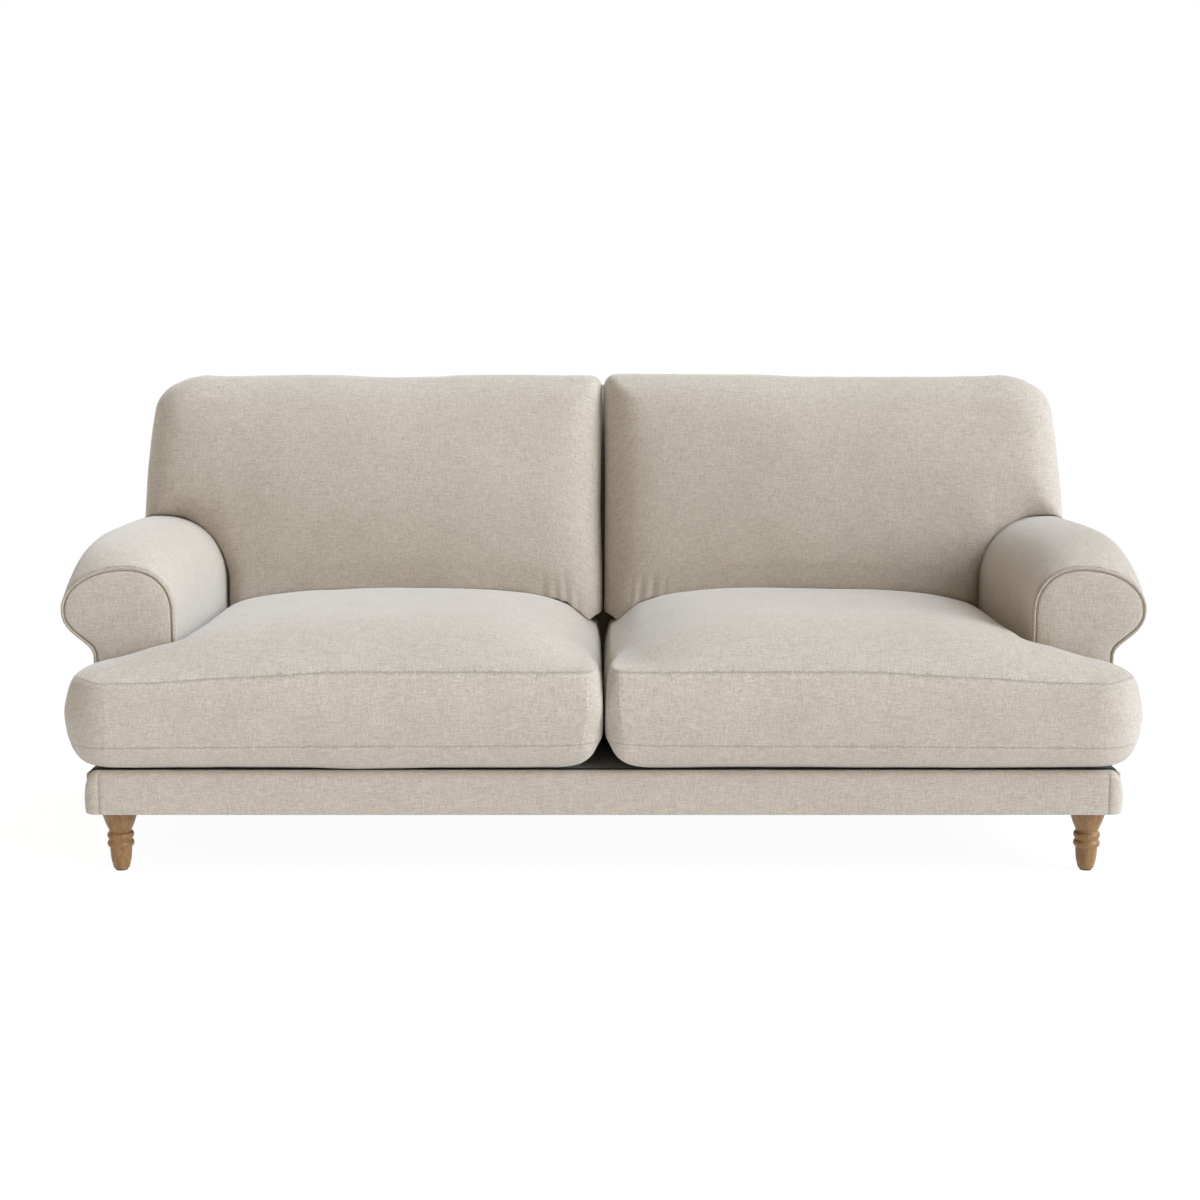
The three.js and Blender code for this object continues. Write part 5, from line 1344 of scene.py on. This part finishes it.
# %% Piping round each front panel
piping_line = even_steps(with_feet(arm_outline(0, 0, 3.0), DECK_BOTTOM + 2), 180)
for side, mirror, seed in SIDES:
    wobble = ripple(with_third(piping_line), 60, seed) * 0.35
    sign = -1 if mirror else 1
    cord = np.column_stack([sign * piping_line[:, 0], ARM_FRONT + 3.6 + wobble, piping_line[:, 1]])
    piping = grow(piping_tree, cord, "piping_arm_" + side, Radius=0.0031, Sides=10, Finish=piping_cloth)
    piping.data.polygons.foreach_set("use_smooth", [True] * len(piping.data.polygons))
    belongs(piping, "sofa_frame", ["arm_piping_" + side], "linen_piping")
print("each cord:", round(running_length(cord)[-1] * MM, 3), "m")


# %% Zips in the rear of the cushions
def rear_line(cushion, sign, low, high, height):
    """A line of points along the rear face of a cushion at one height, just clear of its cloth."""
    tree, spots = tree_of(cushion), []
    for x in np.arange(low, high, 10.0):
        hit = tree.ray_cast((sign * x * MM, 0.9, height * MM), (0, -1, 0))[0]
        spots.append([sign * x, hit.y / MM, height])
    spots = np.array(spots)
    y = np.pad(spots[:, 1], 2, "edge")
    spots[:, 1] = np.maximum(y[2:-2], (y[:-4] + y[1:-3] + y[2:-2] + y[3:-1] + y[4:]) / 5)
    return spots


ZIPS = (("seat", seat_cushions, 90, 790, 332), ("back", back_cushions, 90, 800, 560))  # from, to and height
for kind, cushions, low, high, height in ZIPS:
    for side, cushion in cushions.items():
        body = kind + "_cushion_" + side
        line = rear_line(cushion, -1 if side == "left" else 1, low, high, height)
        tape = grow(tape_tree, line + [0, 0.7, 0], "zip_tape_" + body, Width=0.024, Thickness=0.0009,
                    Finish=piping_cloth)
        belongs(tape, body, [], "linen_piping")
        teeth = grow(bar_tree, line + [0, 1.7, 0], "zip_teeth_" + body, Spacing=0.0026, Size=(0.0014, 0.0014, 0.0052),
                     Finish=zinc)
        belongs(teeth, body, [], "zinc_steel")

# %% [markdown]
# ## The base
# The front border is a padded strip. Its cloth wraps round both corners, where a short vertical seam joins it
# to the end pieces. The strip is swept round the corners in plan, and its top edge is rounded off as well.

# %% Front border
BORDER_LOW, BORDER_HIGH, BORDER_CORNER = LEG_HEIGHT, 214.0, 27.0
BORDER_REAR, BORDER_SEAM = BASE_FRONT + 30, 975.0
# how far each row of the strip stands out, and its height
BORDER_SECTION = [(-12, 0), (-4, 0), (-1.2, 0.6), (0, 3), (0.6, 9), (1.2, 20), (1.6, 32), (1.7, 43), (1.6, 54),
                  (1.1, 64), (0.2, 72), (-2, 78), (-5.5, 82.5), (-11, 85.4), (-18, 86)]


def border_plan():
    """The border's plan from the left rear round both corners, with close steps at the seams."""
    bend = BASE_SIDE - BORDER_CORNER
    straight = [*np.linspace(0, BORDER_SEAM - 12, 82), *(BORDER_SEAM + np.array([-6, -2.5, 0, 2.5])), bend]
    turn = np.linspace(0, math.pi / 2, 9)[1:]
    x = [*straight, *(bend + BORDER_CORNER * np.sin(turn)), BASE_SIDE, BASE_SIDE]
    y = [*np.full(len(straight), BASE_FRONT), *(BASE_FRONT + BORDER_CORNER * (1 - np.cos(turn)))]
    half = np.column_stack([x, [*y, BORDER_REAR - 1.5, BORDER_REAR]])
    return np.vstack([half[::-1] * [-1, 1], half[1:]])


def front_border():
    plan, quilt, rows = border_plan(), Quilt(), []
    ahead = np.gradient(plan, axis=0)
    outward = np.column_stack([ahead[:, 1], -ahead[:, 0]]) / np.linalg.norm(ahead, axis=1, keepdims=True)
    from_seam = np.abs(np.abs(plan[:, 0]) - BORDER_SEAM)
    seam = fade(from_seam, 3.0) * (plan[:, 1] < BASE_FRONT + 1)
    for out_by, up in BORDER_SECTION:
        puffed = np.maximum(out_by, 0) * rounding(from_seam, 30) + np.minimum(out_by, 0)
        flat = plan + outward * (puffed - seam * 1.6)[:, None]
        top = BORDER_HIGH - corner_inset(BASE_SIDE - np.abs(flat[:, 0]), BORDER_CORNER) * 1.4
        scale = np.minimum((top - BORDER_LOW) / (BORDER_HIGH - BORDER_LOW), 1)
        rows.append(with_third(flat, BORDER_LOW + up * scale))
    rows = np.array(rows)
    ids, down = quilt.add(rows), running_length(np.array(BORDER_SECTION, float))
    cloth = np.dstack([np.tile(running_length(plan), (len(down), 1)), np.tile(down[:, None], (1, len(plan)))])
    quilt.grid(ids, cloth)
    rear = rows[[0, -1]]
    rear[..., 1] = BORDER_REAR
    lines = np.array([quilt.add(row) for row in rear])
    for k, flip in ((0, True), (-1, False)):
        quilt.grid(np.array([ids[k], lines[k]]), np.array([rows[k][:, :2], rear[k][:, :2]]), flip=flip)
    ups = np.tile([[0.0], [BORDER_HIGH - BORDER_LOW]], (1, len(plan)))
    quilt.grid(lines, np.dstack([np.tile(plan[:, 0], (2, 1)), ups]), flip=True)
    for end, flip in ((0, False), (-1, True)):
        spots = [*rows[:, end, 1:], rows[-1, end, 1:], rows[0, end, 1:]]
        quilt.face([*ids[:, end], lines[1][end], lines[0][end]], spots, flip)
    border = quilt.object("border_front")
    recalculate(border)
    places, away = points_of(border) / MM, normals_of(border)
    x, y, z = places.T
    from_seam = np.abs(np.abs(x) - BORDER_SEAM)
    front = (y < BASE_FRONT + 3) & (z > BORDER_LOW + 4) & (z < BORDER_HIGH - 6)
    waves = ripple(places, 110, 41) * 0.7 + ripple(places * [1, 1, 0.5], 18, 42) * fade(from_seam, 26) * 0.8
    # Painted shade along the vertical seams of the border.
    set_value(border, "painted_seam_shade", fade(from_seam, 3) * (y < BASE_FRONT + 4))
    set_points(border, (places + away * (waves * front)[:, None]) * MM)
    smooth_out(border)
    border.data.materials.append(linen)
    belongs(border, "sofa_frame", ["front_border"], "oatmeal_linen")


front_border()

# %% Side borders and deck
front = BORDER_REAR + CLEAR
rear_low, rear_high = (lean_y(z, PANEL_FACE) - CLEAR for z in (LEG_HEIGHT, RAIL_TOP))
border_line = [[front, LEG_HEIGHT], [rear_low, LEG_HEIGHT], [rear_high, RAIL_TOP], [front, RAIL_TOP]]
for side, mirror, seed in SIDES:
    panel("border_side_" + side, border_line, 11, side_place(BASE_SIDE - 12), ["side_border_" + side], puff=1.0,
          step=22, mirror=mirror, seed=seed)

DECK_SIDE, DECK_FRONT = 994.7, -442.7
deck_line = [[-DECK_SIDE, DECK_FRONT], [DECK_SIDE, DECK_FRONT], [DECK_SIDE, SEAT_WING_REAR],
             [SEAT_ARM_SIDE, SEAT_WING_REAR], [SEAT_ARM_SIDE, lean_y(DECK_BOTTOM) - CLEAR]]
deck_line += [[-x, y] for x, y in deck_line[:1:-1]]
# The deck is a real cloth, but near black so that it paints the gap between the seat cushions dark, as shade.
panel("deck", deck_line, 7, lambda points: points + [0, 0, DECK_BOTTOM], ["seat_deck"], puff=1.0, step=30,
      waves=0.2, finish=deck_cloth_painted_shade, slot="dust_cloth")

# %% [markdown]
# ## The back
# The raked back is upholstered tight: a lining behind the cushions, a border strip round its edge and an
# outside panel. Their outlines are cut to fit round the arms, so each starts as a copy of the engineering
# solid. Its loose triangles are joined into whole faces, and its hard edges are rounded like wadded cloth.

# %% A rounded copy of a solid
def dressed_copy(source, name, edge, segments, finish):
    mesh = bmesh.new()
    mesh.from_mesh(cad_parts[source].data)
    bmesh.ops.remove_doubles(mesh, verts=mesh.verts, dist=1e-5)
    bmesh.ops.dissolve_limit(mesh, angle_limit=math.radians(1), verts=mesh.verts, edges=mesh.edges)
    sharp = [e for e in mesh.edges if len(e.link_faces) == 2 and e.calc_face_angle(0) > math.radians(32)]
    bmesh.ops.bevel(mesh, geom=sharp, offset=edge * MM, segments=segments, affect="EDGES", profile=0.6,
                    clamp_overlap=True)
    layer = mesh.loops.layers.uv.new("cloth")
    for face in mesh.faces:
        face.smooth = True
        axis = max(range(3), key=lambda k: abs(face.normal[k]))
        first, second = [k for k in (0, 1, 2) if k != axis]
        for corner in face.loops:
            corner[layer].uv = (corner.vert.co[first], corner.vert.co[second])
    data = bpy.data.meshes.new(name)
    mesh.to_mesh(data)
    mesh.free()
    made = add_object(name, data)
    made.modifiers.new("even_shading", "WEIGHTED_NORMAL").keep_sharp = True
    apply_modifiers(made)
    made.data.materials.clear()
    made.data.materials.append(finish)
    return made


BACK_PIECES = {"back_inside_pad": "lining_back", "back_top_border": "border_back_top",
               "back_side_border_left": "border_back_left", "back_side_border_right": "border_back_right",
               "back_outside_panel": "outside_back"}
for source, name in BACK_PIECES.items():
    piece = dressed_copy(source, name, 3.5, 3, linen)
    set_value(piece, "painted_seam_shade", np.zeros(len(piece.data.vertices)))
    belongs(piece, "sofa_frame", [source], "oatmeal_linen")

# %% [markdown]
# ## Turned legs
# A turned leg is a profile spun round its axis: a plain taper, two beads with coves beside them, and a
# swelling shoulder under the frame. The profile is drawn with a smooth curve and spun in 56 steps.

# %% Legs
# radius and height as shares of the leg's greatest radius and of the wood's length, foot to shoulder
LEG_PROFILE = [
    (0.40, 0), (0.44, 0.012), (0.50, 0.08), (0.56, 0.155), (0.6, 0.28), (0.62, 0.345), (0.645, 0.358),
    (0.71, 0.372), (0.745, 0.41), (0.71, 0.447), (0.665, 0.462), (0.65, 0.475), (0.665, 0.49), (0.71, 0.507),
    (0.745, 0.545), (0.71, 0.583), (0.64, 0.598), (0.618, 0.612), (0.64, 0.635), (0.7, 0.672), (0.82, 0.755),
    (0.963, 0.885), (0.995, 0.955), (0.985, 0.985), (0.96, 1)]
LEG_X, LEG_Y = 954.0, {"front": -398.0, "rear": 277.06}
GLIDE_HEIGHT, LEG_STEPS = 3.3, 56


def turned_leg(name, x, y):
    foot, top = GLIDE_HEIGHT, LEG_HEIGHT
    line = smooth_curve([(r * LEG_RADIUS, foot + h * (top - foot)) for r, h in LEG_PROFILE], 76)
    turns = np.linspace(0, 2 * math.pi, LEG_STEPS + 1)[:-1]
    quilt = Quilt()
    ids = quilt.add([[(x + r * math.cos(a), y + r * math.sin(a), z) for a in turns] for r, z in line])
    wrapped = np.hstack([ids, ids[:, :1]])
    around, up = np.arange(LEG_STEPS + 1) * 3.9, np.repeat(line[:, 1][:, None], LEG_STEPS + 1, 1)
    quilt.grid(wrapped, np.dstack([np.tile(around, (len(ids), 1)), up]))
    for ring, z, flip in ((wrapped[0], foot, True), (wrapped[-1], top, False)):
        centre = quilt.add([[x, y, z]])[0]
        for a, b in zip(ring, ring[1:]):
            quilt.face([b, a, centre] if flip else [a, b, centre], [(0, 0), (1, 0), (0, 1)])
    leg = quilt.object(name)
    recalculate(leg)
    leg.data.materials.append(oak)
    return leg


for end, y in LEG_Y.items():
    for side, sign in (("left", -1), ("right", 1)):
        leg = turned_leg(f"turned_leg_{end}_{side}", sign * LEG_X, y)
        belongs(leg, "sofa_frame", [f"leg_{end}_{side}"], "oak_legs")

# %% [markdown]
# ## Frame, webbing and underside
# The beech frame, the webbing and the fittings have the right shapes already, so they stay as the frame gives
# them and only get their finishes. Webbing has no cloth map, so its weave reads its place in the sofa.

# %% Finishes for the solids that stay
FINISHES = {"leg_stud": zinc, "leg_glide": nylon, "seat_webbing": flat_webbing, "back_webbing": upright_webbing}
GRAIN_ALONG = {
    "X": ("front_rail", "rear_rail", "corner_block", "back_top_rail", "back_lower_rail"),
    "Y": ("centre_rail", "side_rail", "arm_rail"),
    "Z": ("arm_front_board", "arm_rear_board", "back_post", "back_wing_post", "back_centre_post")}
FINISHES.update({start: beech[axis] for axis, starts in GRAIN_ALONG.items() for start in starts})
kept = [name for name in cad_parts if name.startswith(tuple(FINISHES))]
for name in kept:
    finish = next(FINISHES[start] for start in FINISHES if name.startswith(start))
    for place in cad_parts[name].material_slots:
        place.material = finish
print("solids that stay:", len(kept))

# %% Dust cover
STAPLE_INSET = 11.0
cover = dressed_copy("dust_cover", "dust_cover_cloth", 0.4, 1, bottom_cloth)
low, high = points_of(cover).min(0) / MM, points_of(cover).max(0) / MM
belongs(cover, "sofa_frame", ["dust_cover"], "dust_cloth")
corners = np.array([[low[0], low[1]], [high[0], low[1]], [high[0], high[1]], [low[0], high[1]]])
corners -= np.sign(corners - corners.mean(0)) * STAPLE_INSET
line = with_third(np.vstack([corners, corners[:1]]), low[2] - 0.4)
staples = grow(bar_tree, line, "staples_dust_cover", Spacing=0.045, Size=(0.0105, 0.0013, 0.0009), Finish=zinc)
belongs(staples, "sofa_frame", [], "zinc_steel")
